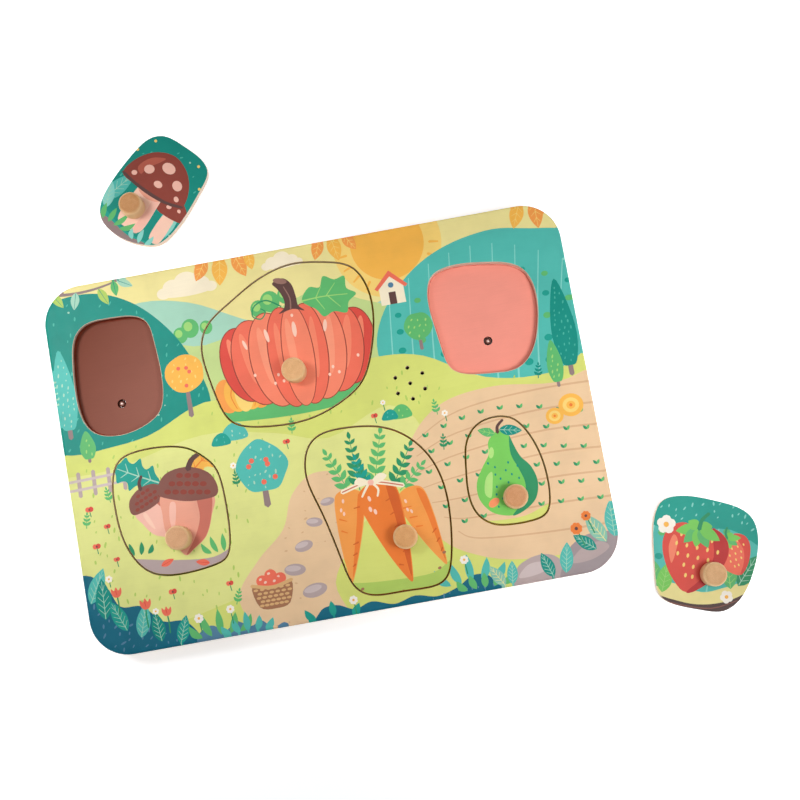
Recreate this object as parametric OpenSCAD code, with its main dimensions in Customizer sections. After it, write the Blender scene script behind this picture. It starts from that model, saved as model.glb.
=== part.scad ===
// Wooden sound peg puzzle: a hollow plywood board with six shaped recesses,
// light sensors under the pieces, a small sound unit inside, and six knobbed
// pieces. Four pieces are seated and two lie on the table beside the board.
// Origin: centre of the board's underside. +X along the width, +Y towards the
// top edge of the picture, +Z up out of the printed face.

/* [Board] */
// Width of the board
board_w = 297; // [294:1:306]
// Height of the board
board_h = 210; // [206:1:220]
// Radius of the four corners
corner_r = 22; // [18:1:26]
// Rounding of the top outer edge
edge_r = 1.5; // [0.8:0.1:2]
// Rounding of the bottom outer edge
base_edge_r = 1; // [0.5:0.1:1.5]

/* [Layers] */
// Thickness of the bottom panel
bottom_t = 3; // [3:0.5:4]
// Height of the hollow between the panels
cavity_t = 10.5; // [10.5:0.5:14]
// Thickness of the panel that the pieces rest on
floor_t = 3; // [3:0.5:4]
// Thickness of the printed top panel and of the pieces
top_t = 5.5; // [4:0.5:8]
// Width of the wooden rails round the hollow
rail_w = 14; // [12:1:15]

/* [Pieces] */
// Gap all round between a piece and its recess
gap = 0.7; // [0.5:0.1:1.2]
// Diameter of a knob
peg_d = 13.4; // [11:0.2:14]
// Height of a knob above its piece
peg_h = 12; // [10:0.5:16]
// Rounding of a knob's top edge
peg_round = 2.2; // [1:0.2:3]
// Rounding of a knob's foot
peg_foot = 0.6; // [0.3:0.1:1]

/* [Loose pieces] */
// Place of the first loose piece, X
loose_a_x = -78; // [-90:0.5:-70]
// Place of the first loose piece, Y
loose_a_y = 154.5; // [152:0.5:180]
// Turn of the first loose piece
loose_a_turn = -43.5; // [-60:0.5:0]
// Place of the second loose piece, X
loose_b_x = 196; // [192:0.5:220]
// Place of the second loose piece, Y
loose_b_y = -107; // [-130:0.5:-90]
// Turn of the second loose piece
loose_b_turn = -15; // [-40:0.5:10]

/* [Sound unit] */
// Diameter of a hole over the speaker
grille_d = 2.2; // [1.6:0.1:3]
// Spacing of the holes over the speaker
grille_pitch = 8.9; // [7:0.1:9]
// Diameter of the speaker
speaker_d = 36; // [34:1:36]
// Diameter of the hole over each light sensor
sensor_hole_d = 5; // [4.6:0.1:5.4]
// Travel of the power switch
switch_travel = 4; // [2:0.5:4]

/* [Hidden] */
$fn = 64;

// Heights of the layers
z_cav = bottom_t;
z_floor = z_cav + cavity_t;
z_rec = z_floor + floor_t;
z_top = z_rec + top_t;
z_head = z_floor - 0.1;

// Colours
ply = [0.85, 0.70, 0.50];
mdf = [0.62, 0.47, 0.32];
beech = [0.87, 0.67, 0.47];
steel = [0.75, 0.75, 0.78];

// Outlines of the recesses: hand-placed points of closed smooth curves, in
// board millimetres, clockwise from the top
out_pumpkin = [[0, 96], [15.5, 93], [30, 89.5], [37, 75], [37.5, 58.5], [33.5, 41], [27, 24], [18, 15.5],
    [-2, 6.5], [-19.5, 4.5], [-41, 6.5], [-54.5, 11], [-59, 26.5], [-62, 42.5], [-64, 56.5], [-58.5, 70.5],
    [-43, 79.5], [-27.5, 89.5], [-12, 95]];
out_acorn = [[-96, 6.5], [-79.5, 4], [-71, -3.5], [-63.5, -11.5], [-62.5, -29.5], [-62.5, -46.5], [-65, -62.5],
    [-74, -65], [-90, -67], [-107.5, -66], [-117.5, -57], [-124, -41.5], [-125, -24.5], [-125, -10.5],
    [-120.5, 3], [-110, 6]];
out_carrot = [[9.5, -1.5], [29, -3.5], [44, -12], [55.5, -27], [60, -45.5], [59, -65.5], [56.5, -81.5], [52.5, -95],
    [43, -98.5], [26, -97], [8.5, -98], [-1.5, -91], [-4.5, -77], [-8, -60], [-12, -43.5], [-18, -26.5],
    [-15, -10], [-6, -2]];
out_pear = [[90.5, -10], [103.5, -11.5], [111, -23.5], [115.5, -37.5], [116.5, -55], [114, -69.5], [104.5, -72],
    [91, -72], [80.5, -70.5], [72, -62.5], [70, -49.5], [72, -35.5], [73.5, -22], [81, -13]];
out_mushroom = [[-112.5, 83], [-99.5, 83], [-89.5, 78.5], [-88.5, 65.5], [-87, 50], [-87.5, 35.5], [-90.5, 24.5],
    [-100.5, 19], [-113, 15.5], [-129, 17.5], [-136, 28], [-137, 44], [-136, 60.5], [-134, 76], [-125, 83.5]];
out_strawberry = [[91.5, 78], [104.5, 76], [117, 74], [126.5, 67.5], [129.5, 53], [127, 37], [122, 22], [111.5, 12],
    [98, 13.5], [83.5, 14.5], [72.5, 19], [71, 32], [69, 47], [67.5, 61], [70.5, 74], [80, 77.5]];
outlines = [out_pumpkin, out_acorn, out_carrot, out_pear, out_mushroom, out_strawberry];

// Knob centres, sensor centres
peg_pumpkin = [-12.5, 34];
peg_acorn = [-91, -46.5];
peg_carrot = [32.5, -68];
peg_pear = [96, -57];
peg_mushroom = [-116, 36];
peg_strawberry = [103, 34.5];
sensors = [[-16, 27], [-90, -53], [32, -75], [94, -62], [-113, 34.5], [97.5, 32.5]];

// Middles of the two loose pieces' outlines, for turning them
mid_mushroom = [-111, 49];
mid_strawberry = [99, 45];

// Closed cubic B-spline through hand-placed points
steps = 8;
function spot(p, i) = p[(i + len(p)) % len(p)];
function bend(a, b, c, d, u) = (pow(1 - u, 3) * a + (3 * pow(u, 3) - 6 * u * u + 4) * b
    + (-3 * pow(u, 3) + 3 * u * u + 3 * u + 1) * c + pow(u, 3) * d) / 6;
function smooth(p) = [for (i = [0:len(p) - 1], k = [0:steps - 1])
    bend(spot(p, i - 1), spot(p, i), spot(p, i + 1), spot(p, i + 2), k / steps)];
// Moves each point of a clockwise curve inwards by d
function inward(q, i) = let (t = spot(q, i + 1) - spot(q, i - 1)) [t[1], -t[0]] / norm(t);
function inset(q, d) = [for (i = [0:len(q) - 1]) q[i] + d * inward(q, i)];

// Flat sheet with rounded corners
module rounded(w, h, r) {
    square([w - 2 * r, h], center = true);
    square([w, h - 2 * r], center = true);
    for (x = [-1, 1], y = [-1, 1]) translate([x * (w / 2 - r), y * (h / 2 - r)]) circle(r, $fn = 96);
}
module sheet(z, t, w = board_w, h = board_h, r = corner_r) {
    translate([0, 0, z]) linear_extrude(t) rounded(w, h, r);
}

// Half section of a slab's edge, from x = 0 to x = r, with rounded top or bottom corner
module edge_section(r, t, top, bottom) {
    difference() {
        square([r, t]);
        if (top > 0) translate([r - top, t - top]) difference() {
            square(top + 1);
            circle(top);
        }
        if (bottom > 0) translate([r - bottom, bottom]) difference() {
            translate([0, -bottom - 1]) square(bottom + 1);
            circle(bottom);
        }
    }
}

// Slab with rounded corners in plan and a rounded top or bottom outer edge
module slab(z, t, top = 0, bottom = 0) {
    bw = board_w - 2 * corner_r;
    bh = board_h - 2 * corner_r;
    translate([0, 0, z]) {
        translate([-bw / 2, -bh / 2, 0]) cube([bw, bh, t]);
        for (k = [0:3]) {
            len = k % 2 == 0 ? bh : bw;
            side = k % 2 == 0 ? bw : bh;
            rotate([0, 0, 90 * k]) translate([side / 2, len / 2, 0]) {
                rotate([90, 0, 0]) linear_extrude(len) edge_section(corner_r, t, top, bottom);
                rotate_extrude(angle = 90, $fn = 96) edge_section(corner_r, t, top, bottom);
            }
        }
    }
}

// The seven holes over the speaker
speaker_at = [50, 16];
module grille_holes(z, t) {
    translate([speaker_at[0], speaker_at[1], z - 1]) {
        cylinder(h = t + 2, d = grille_d);
        for (a = [30:60:330]) rotate([0, 0, a]) translate([grille_pitch, 0, 0]) cylinder(h = t + 2, d = grille_d);
    }
}

// Printed top panel with six cut-outs
module top_panel() {
    color(ply) difference() {
        slab(z_rec, top_t, edge_r, 0);
        for (o = outlines) translate([0, 0, z_rec - 1]) linear_extrude(top_t + 2) polygon(smooth(o));
        grille_holes(z_rec, top_t);
    }
}

// Panel under the pieces, with a hole for each light sensor
module recess_floor() {
    color(mdf) difference() {
        sheet(z_floor, floor_t);
        grille_holes(z_floor, floor_t);
        for (s = sensors) translate([s[0], s[1], z_floor - 1]) cylinder(h = floor_t + 2, d = sensor_hole_d);
    }
}

// Wooden rails round the hollow. The screws of the bottom panel bite into them.
screw_spots = [for (x = [-141, 0, 141], y = [-98, 98]) if (x == 0) [x, y] else [x * 0.93, y * 0.985]];
side_screw_spots = [[-141.5, 0], [141.5, 0]];
pilot_r = 1.45;
shank_r = 1.4;
module pilot(p) {
    translate([p[0], p[1], z_cav - 1]) cylinder(h = 10, r = pilot_r);
}
module ring() {
    difference() {
        rounded(board_w, board_h, corner_r);
        rounded(board_w - 2 * rail_w, board_h - 2 * rail_w, corner_r - rail_w);
    }
}
module end_rail(s) {
    difference() {
        translate([0, 0, z_cav]) linear_extrude(cavity_t) intersection() {
            ring();
            translate([-board_w / 2, s > 0 ? board_h / 2 - corner_r : -board_h / 2]) square([board_w, corner_r]);
        }
        for (p = screw_spots) if (p[1] * s > 0) pilot(p);
    }
}
module side_rail(s) {
    difference() {
        translate([s > 0 ? board_w / 2 - rail_w : -board_w / 2, -board_h / 2 + corner_r, z_cav])
            cube([rail_w, board_h - 2 * corner_r, cavity_t]);
        for (p = side_screw_spots) if (p[0] * s > 0) pilot(p);
    }
}
module rail_back() { color(mdf) end_rail(1); }
module rail_front() { color(mdf) end_rail(-1); }
module rail_left() { color(mdf) side_rail(-1); }
module rail_right() { color(mdf) side_rail(1); }

// Ribs that carry the middle of the recess floor, notched for the sensor cables
rib_x = 82;
rib_t = 8;
module rib(s, notches) {
    difference() {
        translate([s * rib_x - rib_t / 2, -board_h / 2 + rail_w, z_cav]) cube([rib_t, board_h - 2 * rail_w, cavity_t]);
        for (y = notches) translate([s * rib_x - rib_t, y - 2.5, z_cav + 6]) cube([2 * rib_t, 5, cavity_t]);
    }
}
module rib_left() { color(mdf) rib(-1, [54, -53]); }
module rib_right() { color(mdf) rib(1, [60, -62]); }

// Sound unit: places of its parts
box_x = -38;
box_y = -10;
box_l = 60;
box_w = 30;
wall = 1.6;
box_in = [box_x - box_l / 2 + wall, box_x + box_l / 2 - wall];
lip_w = 4;
box_screw_spots = [for (x = [-1, 1], y = [-1, 1]) [box_x + x * (box_l / 2 + 2), box_y + y * (box_w / 2 + 2)]];
board_x = -30;
board_y = 45;
board_l = 56;
board_d = 42;
spacer_h = 4;
board_t = 1.4;
z_board = z_cav + spacer_h;
board_screw_spots = [for (x = [-1, 1], y = [-1, 1]) [board_x + x * (board_l / 2 - 4), board_y + y * (board_d / 2 - 4)]];
switch_x = 14;
switch_y = -12;

// Bottom panel with its openings and screw holes
head_r = 2.9;
module sunk_hole(p) {
    translate([p[0], p[1], -1]) cylinder(h = bottom_t + 2, r = 1.6);
    translate([p[0], p[1], -0.02]) cylinder(h = 1.72, r1 = head_r + 0.2, r2 = 1.6);
}
module bottom_panel() {
    color(mdf) difference() {
        slab(0, bottom_t, 0, base_edge_r);
        translate([box_x - box_l / 2 - 0.2, box_y - box_w / 2 - 0.2, -1]) cube([box_l + 0.4, box_w + 0.4, bottom_t + 2]);
        translate([switch_x - 4.5, switch_y - 2, -1]) cube([9, 4, bottom_t + 2]);
        for (p = concat(screw_spots, side_screw_spots)) sunk_hole(p);
        for (p = concat(box_screw_spots, board_screw_spots)) translate([p[0], p[1], 1.2]) cylinder(h = bottom_t, r = 1.05);
    }
}

// Countersunk wood screw standing on its head, with a cross recess
module sunk_screw(r, hr, l) {
    difference() {
        union() {
            cylinder(h = 1.5, r1 = hr, r2 = r);
            cylinder(h = l - 1.2, r = r);
            translate([0, 0, l - 1.2]) cylinder(h = 1.2, r1 = r, r2 = 0.3);
        }
        for (a = [0, 90]) rotate([0, 0, a]) translate([-hr * 0.6, -0.3, -1]) cube([hr * 1.2, 0.6, 1.8]);
    }
}
module panel_screws() {
    color(steel) for (p = concat(screw_spots, side_screw_spots)) translate([p[0], p[1], 0.1]) sunk_screw(shank_r, head_r, 11.2);
}

// Battery box: a tray for two slim cells, let into the bottom panel from inside
cell_r = 5.2;
cell_y = [box_y - 5.6, box_y + 5.6];
cell_z = 7.1;
part_x = box_in[1] - 7.7;
door_z = 1.0;
door_px = box_in[0] + 1.2;
door_sx = box_in[1] - 3;
module battery_box() {
    color([0.16, 0.16, 0.17]) difference() {
        union() {
            translate([box_x - box_l / 2, box_y - box_w / 2, 0]) cube([box_l, box_w, z_head]);
            translate([box_x - box_l / 2 - lip_w, box_y - box_w / 2 - lip_w, z_cav]) cube([box_l + 2 * lip_w, box_w + 2 * lip_w, 1.5]);
        }
        difference() {
            translate([box_in[0], box_y - box_w / 2 + wall, -1]) cube([box_l - 2 * wall, box_w - 2 * wall, z_head]);
            // partition beside the cells, and the post that the door's screw bites into
            translate([part_x, box_y - box_w / 2, 1.8]) cube([1.2, box_w, z_head]);
            translate([door_sx, box_y, 2.1]) cylinder(h = z_head, r = 2.9);
        }
        translate([door_sx, box_y, 1]) cylinder(h = 7, r = 1.55);
        // holes for the door's pins
        translate([door_px, box_y - box_w / 2 - 1, door_z]) rotate([-90, 0, 0]) cylinder(h = box_w + 2, r = 0.65);
        for (p = box_screw_spots) translate([p[0], p[1], z_cav - 1]) cylinder(h = 4, r = 1.15);
    }
}
module pan_screw(r, hr, l) {
    difference() {
        union() {
            translate([0, 0, -l]) cylinder(h = l + 0.5, r = r);
            cylinder(h = 1.3, r = hr);
        }
        for (a = [0, 90]) rotate([0, 0, a]) translate([-hr * 0.6, -0.25, 0.6]) cube([hr * 1.2, 0.5, 2]);
    }
}
module battery_box_screws() {
    color(steel) for (p = box_screw_spots) translate([p[0], p[1], z_cav + 1.5]) pan_screw(1, 1.9, 3.1);
}

// Door on two small pins of its own, held shut by a screw that stays in it
module battery_door() {
    w = box_w - 2 * wall - 0.4;
    color([0.20, 0.20, 0.21]) difference() {
        union() {
            translate([door_px, box_y - w / 2, 0]) cube([box_in[1] - 0.2 - door_px, w, 1.6]);
            translate([door_px, box_y - w / 2, door_z]) rotate([-90, 0, 0]) cylinder(h = w, r = 1);
            translate([door_px, box_y - w / 2 - 1.3, door_z]) rotate([-90, 0, 0]) cylinder(h = w + 2.6, r = 0.6);
        }
        translate([door_sx, box_y, -1]) cylinder(h = 4, r = 1.25);
        translate([door_sx, box_y, -0.02]) cylinder(h = 1.2, r1 = 2.3, r2 = 1.25);
        // grip grooves
        for (i = [0:4]) translate([door_sx - 9 - 1.6 * i, box_y - 6, -0.5]) cube([0.8, 12, 0.9]);
    }
}
module battery_door_screw() {
    color(steel) translate([door_sx, box_y, 0.1]) difference() {
        union() {
            cylinder(h = 1.05, r1 = 2.15, r2 = 1.15);
            cylinder(h = 4.6, r = 1.15);
            translate([0, 0, 1.65]) cylinder(h = 0.3, r = 1.45);
            translate([0, 0, 4.6]) cylinder(h = 0.9, r1 = 1.15, r2 = 0.4);
        }
        for (a = [0, 90]) rotate([0, 0, a]) translate([-1.3, -0.25, -1]) cube([2.6, 0.5, 1.6]);
    }
}

// Slim cell lying along X, nub towards +X
module cell() {
    rotate([0, 90, 0]) {
        cylinder(h = 43.2, r = cell_r);
        translate([0, 0, 43.2]) cylinder(h = 1, r = 1.9);
    }
}
module battery_1() { color([0.25, 0.45, 0.40]) translate([door_px + 2.9, cell_y[0], cell_z]) cell(); }
module battery_2() { color([0.25, 0.45, 0.40]) translate([part_x - 4.2, cell_y[1], cell_z]) mirror([1, 0, 0]) cell(); }

// Contacts: two single plates at one end, one that joins the cells at the other
module contact_plates() {
    color(steel) {
        for (y = cell_y) translate([box_in[0] + 0.1, y - 4.4, 3]) cube([0.4, 8.8, 9]);
        translate([part_x - 0.5, box_y - 10, 3]) cube([0.4, 20, 9]);
    }
}

// Coil as a swept tube: rings of points round a tapering helix along X
coil_turns = 4;
ring_n = 14;
function coil_mid(t, l) = let (a = 360 * coil_turns * t, r = 3.6 - 1.4 * t) [l * t, r * cos(a), r * sin(a)];
function coil_ring(t, l, w) = let (a = 360 * coil_turns * t, m = coil_mid(t, l)) [for (k = [0:7])
    m + w * [cos(45 * k), sin(45 * k) * cos(a), sin(45 * k) * sin(a)]];
module coil(l, w) {
    n = coil_turns * ring_n;
    points = [for (i = [0:n]) each coil_ring(i / n, l, w)];
    faces = concat([[for (k = [0:7]) k]], [[for (k = [7:-1:0]) n * 8 + k]],
        [for (i = [0:n - 1], k = [0:7]) [i * 8 + k, (i + 1) * 8 + k, (i + 1) * 8 + (k + 1) % 8, i * 8 + (k + 1) % 8]]);
    polyhedron(points, faces, convexity = 6);
}
module contact_springs() {
    color(steel) {
        translate([box_in[0] + 0.9, cell_y[0], cell_z]) coil(2.7, 0.3);
        translate([part_x - 0.9, cell_y[1], cell_z]) mirror([1, 0, 0]) coil(2.9, 0.3);
    }
}

// Circuit board on four spacers
module circuit_board() {
    color([0.10, 0.38, 0.22]) difference() {
        translate([board_x - board_l / 2, board_y - board_d / 2, z_board]) cube([board_l, board_d, board_t]);
        for (p = board_screw_spots) translate([p[0], p[1], z_board - 1]) cylinder(h = 4, r = 1.15);
    }
}
module board_spacers() {
    color([0.9, 0.9, 0.88]) for (p = board_screw_spots) translate([p[0], p[1], z_cav]) difference() {
        cylinder(h = spacer_h, r = 3);
        translate([0, 0, -1]) cylinder(h = spacer_h + 2, r = 1.15);
    }
}
module board_screws() {
    color(steel) for (p = board_screw_spots) translate([p[0], p[1], z_board + board_t]) pan_screw(1, 1.9, board_t + spacer_h + 1.5);
}
module sound_chip() {
    color([0.06, 0.06, 0.07]) translate([board_x - 6, board_y - 2, z_board + board_t]) intersection() {
        translate([0, 0, -9.5]) sphere(11.2, $fn = 96);
        cylinder(h = 4, r = 6);
    }
}
module capacitor() {
    color([0.15, 0.2, 0.45]) translate([board_x + 8, board_y + 9, z_board + board_t]) cylinder(h = 4.4, r = 2.5);
}

// White plugs on the board's two short edges
con_l = board_x - board_l / 2;
con_r = board_x + board_l / 2;
module cable_connectors() {
    color([0.93, 0.92, 0.86]) {
        translate([con_l, board_y - 10, z_board + board_t]) cube([5, 24, 3.2]);
        translate([con_r - 5, board_y - 12, z_board + board_t]) cube([5, 24, 3.2]);
    }
}

// Flat two-core cable along a route of straight stretches
cable_w = 2.4;
cable_t = 1.2;
function way(a, b) = (b - a) / norm(b - a);
function side_of(p, i) = let (n = len(p), u = i > 0 ? way(p[i - 1], p[i]) : way(p[0], p[1]),
    v = i < n - 1 ? way(p[i], p[i + 1]) : u, m = (u + v) / norm(u + v)) [-m[1], m[0]] / (m * u);
module cable(p, z) {
    n = len(p);
    translate([0, 0, z]) linear_extrude(cable_t) polygon(concat(
        [for (i = [0:n - 1]) p[i] + cable_w / 2 * side_of(p, i)],
        [for (i = [n - 1:-1:0]) p[i] - cable_w / 2 * side_of(p, i)]));
}
z_up = 10.2;
z_low = 8.7;
module sensor_cables() {
    color([0.75, 0.2, 0.2]) {
        cable([[-16, 28.4], [-16, 23], [6, 23], [6, 36], [con_r, 36]], z_up);
        cable([[con_l, 38], [-73, 38], [-73, -53], [-91.5, -53]], z_up);
        cable([[con_r, 40], [10, 40], [10, -75], [33.5, -75]], z_up);
        cable([[con_r, 44], [17, 44], [17, -62], [95.5, -62]], z_up);
        cable([[con_l, 54], [-113, 54], [-113, 33]], z_up);
        cable([[con_r, 52], [22, 52], [22, 60], [97.5, 60], [97.5, 31]], z_up);
    }
}
module speaker_cable() {
    color([0.85, 0.75, 0.2]) cable([[con_r, 48], [26, 48], [26, speaker_at[1]], [speaker_at[0] - 15.6, speaker_at[1]]], z_up);
}
module power_cables() {
    color([0.15, 0.15, 0.16]) {
        cable([[box_x + box_l / 2, -4], [2.4, -4], [2.4, 38], [con_r, 38]], z_low);
        cable([[switch_x, switch_y + 3.3], [switch_x, 42], [con_r, 42]], z_low);
    }
}

// Clear light sensors that look up into each recess
module light_sensors() {
    color([0.85, 0.88, 0.9]) for (s = sensors) translate([s[0], s[1], z_up + cable_t]) rotate_extrude() {
        square([2.3, 1]);
        square([1.8, 3.2]);
        translate([0, 3.2]) intersection() {
            circle(1.8);
            square(2);
        }
    }
}

// Speaker, hung under the recess floor on a foam ring
module at_speaker(z) {
    translate([speaker_at[0], speaker_at[1], z]) children();
}
sp_r = speaker_d / 2;
module speaker_gasket() {
    color([0.12, 0.12, 0.12]) at_speaker(z_floor - 0.6) difference() {
        cylinder(h = 0.6, r = sp_r);
        translate([0, 0, -1]) cylinder(h = 3, r = sp_r - 3);
    }
}
module speaker_frame() {
    color([0.3, 0.3, 0.32]) at_speaker(z_floor - 5.5) rotate_extrude($fn = 96)
        polygon([[2, 0], [9.3, 0], [sp_r - 2.5, 4.1], [sp_r, 4.1], [sp_r, 4.9], [sp_r - 3.2, 4.9], [sp_r - 3.2, 4.6], [9, 0.7], [2, 0.7]]);
}
module speaker_magnet() {
    color([0.6, 0.6, 0.62]) at_speaker(z_floor - 9) cylinder(h = 3.5, r = 8);
}
module speaker_cone() {
    color([0.2, 0.2, 0.21]) at_speaker(z_floor - 5.5) rotate_extrude($fn = 96)
        polygon([[0, 2.6], [2, 2.4], [4, 1.8], [5, 1.3], [13.4, 4.5], [sp_r - 3.4, 4.5], [sp_r - 3.4, 4.8], [13.3, 4.8], [5, 1.7], [4, 2.2], [2, 2.8], [0, 3]]);
}

// Slide switch: body inside, ribbed slider in a slot of the bottom panel
module switch_body() {
    color([0.7, 0.7, 0.72]) difference() {
        translate([switch_x - 6.4, switch_y - 3.3, z_cav]) cube([12.8, 6.6, 5.5]);
        translate([switch_x - 4.5, switch_y - 2, z_cav - 1]) cube([9, 4, 3]);
        translate([switch_x - 5.4, switch_y - 2.5, z_cav + 1.1]) cube([10.8, 5, 2]);
    }
}
module switch_slider() {
    x = switch_x - 4.2;
    color([0.08, 0.08, 0.09]) difference() {
        union() {
            translate([x, switch_y - 1.7, 0.5]) cube([4.4, 3.4, z_cav + 0.8]);
            translate([x - 0.9, switch_y - 2.3, z_cav + 1.2]) cube([6.2, 4.6, 1.2]);
        }
        for (i = [0:3]) translate([x + 0.5 + i, switch_y - 3, 0]) cube([0.4, 6, 0.9]);
    }
}

// A piece: plate, turned knob and the screw that joins them from below
module plate(outline, peg) {
    color(ply) difference() {
        linear_extrude(top_t) polygon(inset(smooth(outline), gap));
        translate([peg[0], peg[1], -1]) cylinder(h = top_t + 2, r = 1.55);
        translate([peg[0], peg[1], -0.02]) cylinder(h = 1.72, r1 = 3, r2 = 1.55);
    }
}
module peg(at) {
    r = peg_d / 2;
    color(beech) translate([at[0], at[1], top_t]) difference() {
        rotate_extrude($fn = 96) union() {
            difference() {
                square([r, peg_h]);
                translate([r - peg_round, peg_h - peg_round]) difference() {
                    square(peg_round + 1);
                    circle(peg_round);
                }
                translate([r - peg_foot, peg_foot]) difference() {
                    translate([0, -peg_foot - 1]) square(peg_foot + 1);
                    circle(peg_foot);
                }
            }
        }
        translate([0, 0, -1]) cylinder(h = 9, r = pilot_r);
    }
}
module peg_screw(at) {
    color(steel) translate([at[0], at[1], 0.1]) sunk_screw(shank_r, 2.8, 12.6);
}
module seated() { translate([0, 0, z_rec]) children(); }
module loose(x, y, turn, mid) { translate([x, y, 0]) rotate([0, 0, turn]) translate([-mid[0], -mid[1], 0]) children(); }
module loose_a() { loose(loose_a_x, loose_a_y, loose_a_turn, mid_mushroom) children(); }
module loose_b() { loose(loose_b_x, loose_b_y, loose_b_turn, mid_strawberry) children(); }

module pumpkin_plate() { seated() plate(out_pumpkin, peg_pumpkin); }
module pumpkin_peg() { seated() peg(peg_pumpkin); }
module pumpkin_screw() { seated() peg_screw(peg_pumpkin); }
module acorn_plate() { seated() plate(out_acorn, peg_acorn); }
module acorn_peg() { seated() peg(peg_acorn); }
module acorn_screw() { seated() peg_screw(peg_acorn); }
module carrot_plate() { seated() plate(out_carrot, peg_carrot); }
module carrot_peg() { seated() peg(peg_carrot); }
module carrot_screw() { seated() peg_screw(peg_carrot); }
module pear_plate() { seated() plate(out_pear, peg_pear); }
module pear_peg() { seated() peg(peg_pear); }
module pear_screw() { seated() peg_screw(peg_pear); }
module mushroom_plate() { loose_a() plate(out_mushroom, peg_mushroom); }
module mushroom_peg() { loose_a() peg(peg_mushroom); }
module mushroom_screw() { loose_a() peg_screw(peg_mushroom); }
module strawberry_plate() { loose_b() plate(out_strawberry, peg_strawberry); }
module strawberry_peg() { loose_b() peg(peg_strawberry); }
module strawberry_screw() { loose_b() peg_screw(peg_strawberry); }

top_panel();
recess_floor();
rail_back();
rail_front();
rail_left();
rail_right();
rib_left();
rib_right();
bottom_panel();
panel_screws();
battery_box();
battery_box_screws();
battery_door();
battery_door_screw();
battery_1();
battery_2();
contact_plates();
contact_springs();
circuit_board();
board_spacers();
board_screws();
sound_chip();
capacitor();
cable_connectors();
sensor_cables();
speaker_cable();
power_cables();
light_sensors();
speaker_gasket();
speaker_frame();
speaker_magnet();
speaker_cone();
switch_body();
switch_slider();
pumpkin_plate();
pumpkin_peg();
pumpkin_screw();
acorn_plate();
acorn_peg();
acorn_screw();
carrot_plate();
carrot_peg();
carrot_screw();
pear_plate();
pear_peg();
pear_screw();
mushroom_plate();
mushroom_peg();
mushroom_screw();
strawberry_plate();
strawberry_peg();
strawberry_screw();
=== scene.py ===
import math
import random

import bpy
from mathutils import Matrix, Vector
from mathutils.geometry import delaunay_2d_cdt


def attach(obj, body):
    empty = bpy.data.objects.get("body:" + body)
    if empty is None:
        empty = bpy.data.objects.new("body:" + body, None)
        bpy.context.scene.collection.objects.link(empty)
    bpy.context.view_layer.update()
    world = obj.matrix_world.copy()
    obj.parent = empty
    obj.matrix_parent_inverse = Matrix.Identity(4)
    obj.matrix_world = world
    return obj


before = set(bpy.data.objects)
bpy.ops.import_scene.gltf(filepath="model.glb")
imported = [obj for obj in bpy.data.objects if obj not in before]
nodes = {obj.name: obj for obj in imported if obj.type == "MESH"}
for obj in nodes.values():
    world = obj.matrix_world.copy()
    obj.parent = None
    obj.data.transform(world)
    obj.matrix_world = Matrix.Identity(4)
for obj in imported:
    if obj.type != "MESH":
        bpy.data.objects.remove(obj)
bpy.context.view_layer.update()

# ---------------------------------------------------------------- drawing tools, all in board millimetres
RNG = random.Random(20)
ART = []          # (points, ink) in painting order


def crom(pts, k=5, closed=True):
    """Smooth curve through points."""
    n, out = len(pts), []
    for i in range(n if closed else n - 1):
        if closed:
            a, b, c, d = pts[i - 1], pts[i], pts[(i + 1) % n], pts[(i + 2) % n]
        else:
            a, b, c, d = pts[max(i - 1, 0)], pts[i], pts[i + 1], pts[min(i + 2, n - 1)]
        for j in range(k):
            t = j / k
            out.append(tuple(0.5 * (2 * b[m] + (c[m] - a[m]) * t + (2 * a[m] - 5 * b[m] + 4 * c[m] - d[m]) * t * t
                                    + (3 * b[m] - a[m] - 3 * c[m] + d[m]) * t ** 3) for m in (0, 1)))
    if not closed:
        out.append(tuple(pts[-1]))
    return out


def put(pts, ink):
    ART.append(([tuple(p) for p in pts], ink))


def crosses(p):
    """Whether a closed polygon cuts itself."""
    n = len(p)

    def side(a, b, c):
        return (b[0] - a[0]) * (c[1] - a[1]) - (b[1] - a[1]) * (c[0] - a[0])
    for i in range(n):
        a, b = p[i], p[(i + 1) % n]
        for j in range(i + 2, n):
            if i == 0 and j == n - 1:
                continue
            c, d = p[j], p[(j + 1) % n]
            if max(c[0], d[0]) < min(a[0], b[0]) or min(c[0], d[0]) > max(a[0], b[0]) or max(c[1], d[1]) < min(a[1], b[1]) or min(c[1], d[1]) > max(a[1], b[1]):
                continue
            if side(a, b, c) * side(a, b, d) <= 0 and side(c, d, a) * side(c, d, b) <= 0:
                return True
    return False


def blob(pts, ink, k=5):
    put(crom(pts, k), ink)


def ell(x, y, rx, ry=None, ink="cream", turn=0.0, n=None):
    ry = rx if ry is None else ry
    n = n or max(8, min(40, int(6 + 2.2 * math.sqrt(max(rx, ry) * 6))))
    c, s = math.cos(math.radians(turn)), math.sin(math.radians(turn))
    put([(x + rx * math.cos(a) * c - ry * math.sin(a) * s, y + rx * math.cos(a) * s + ry * math.sin(a) * c)
         for a in (2 * math.pi * i / n for i in range(n))], ink)


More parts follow.
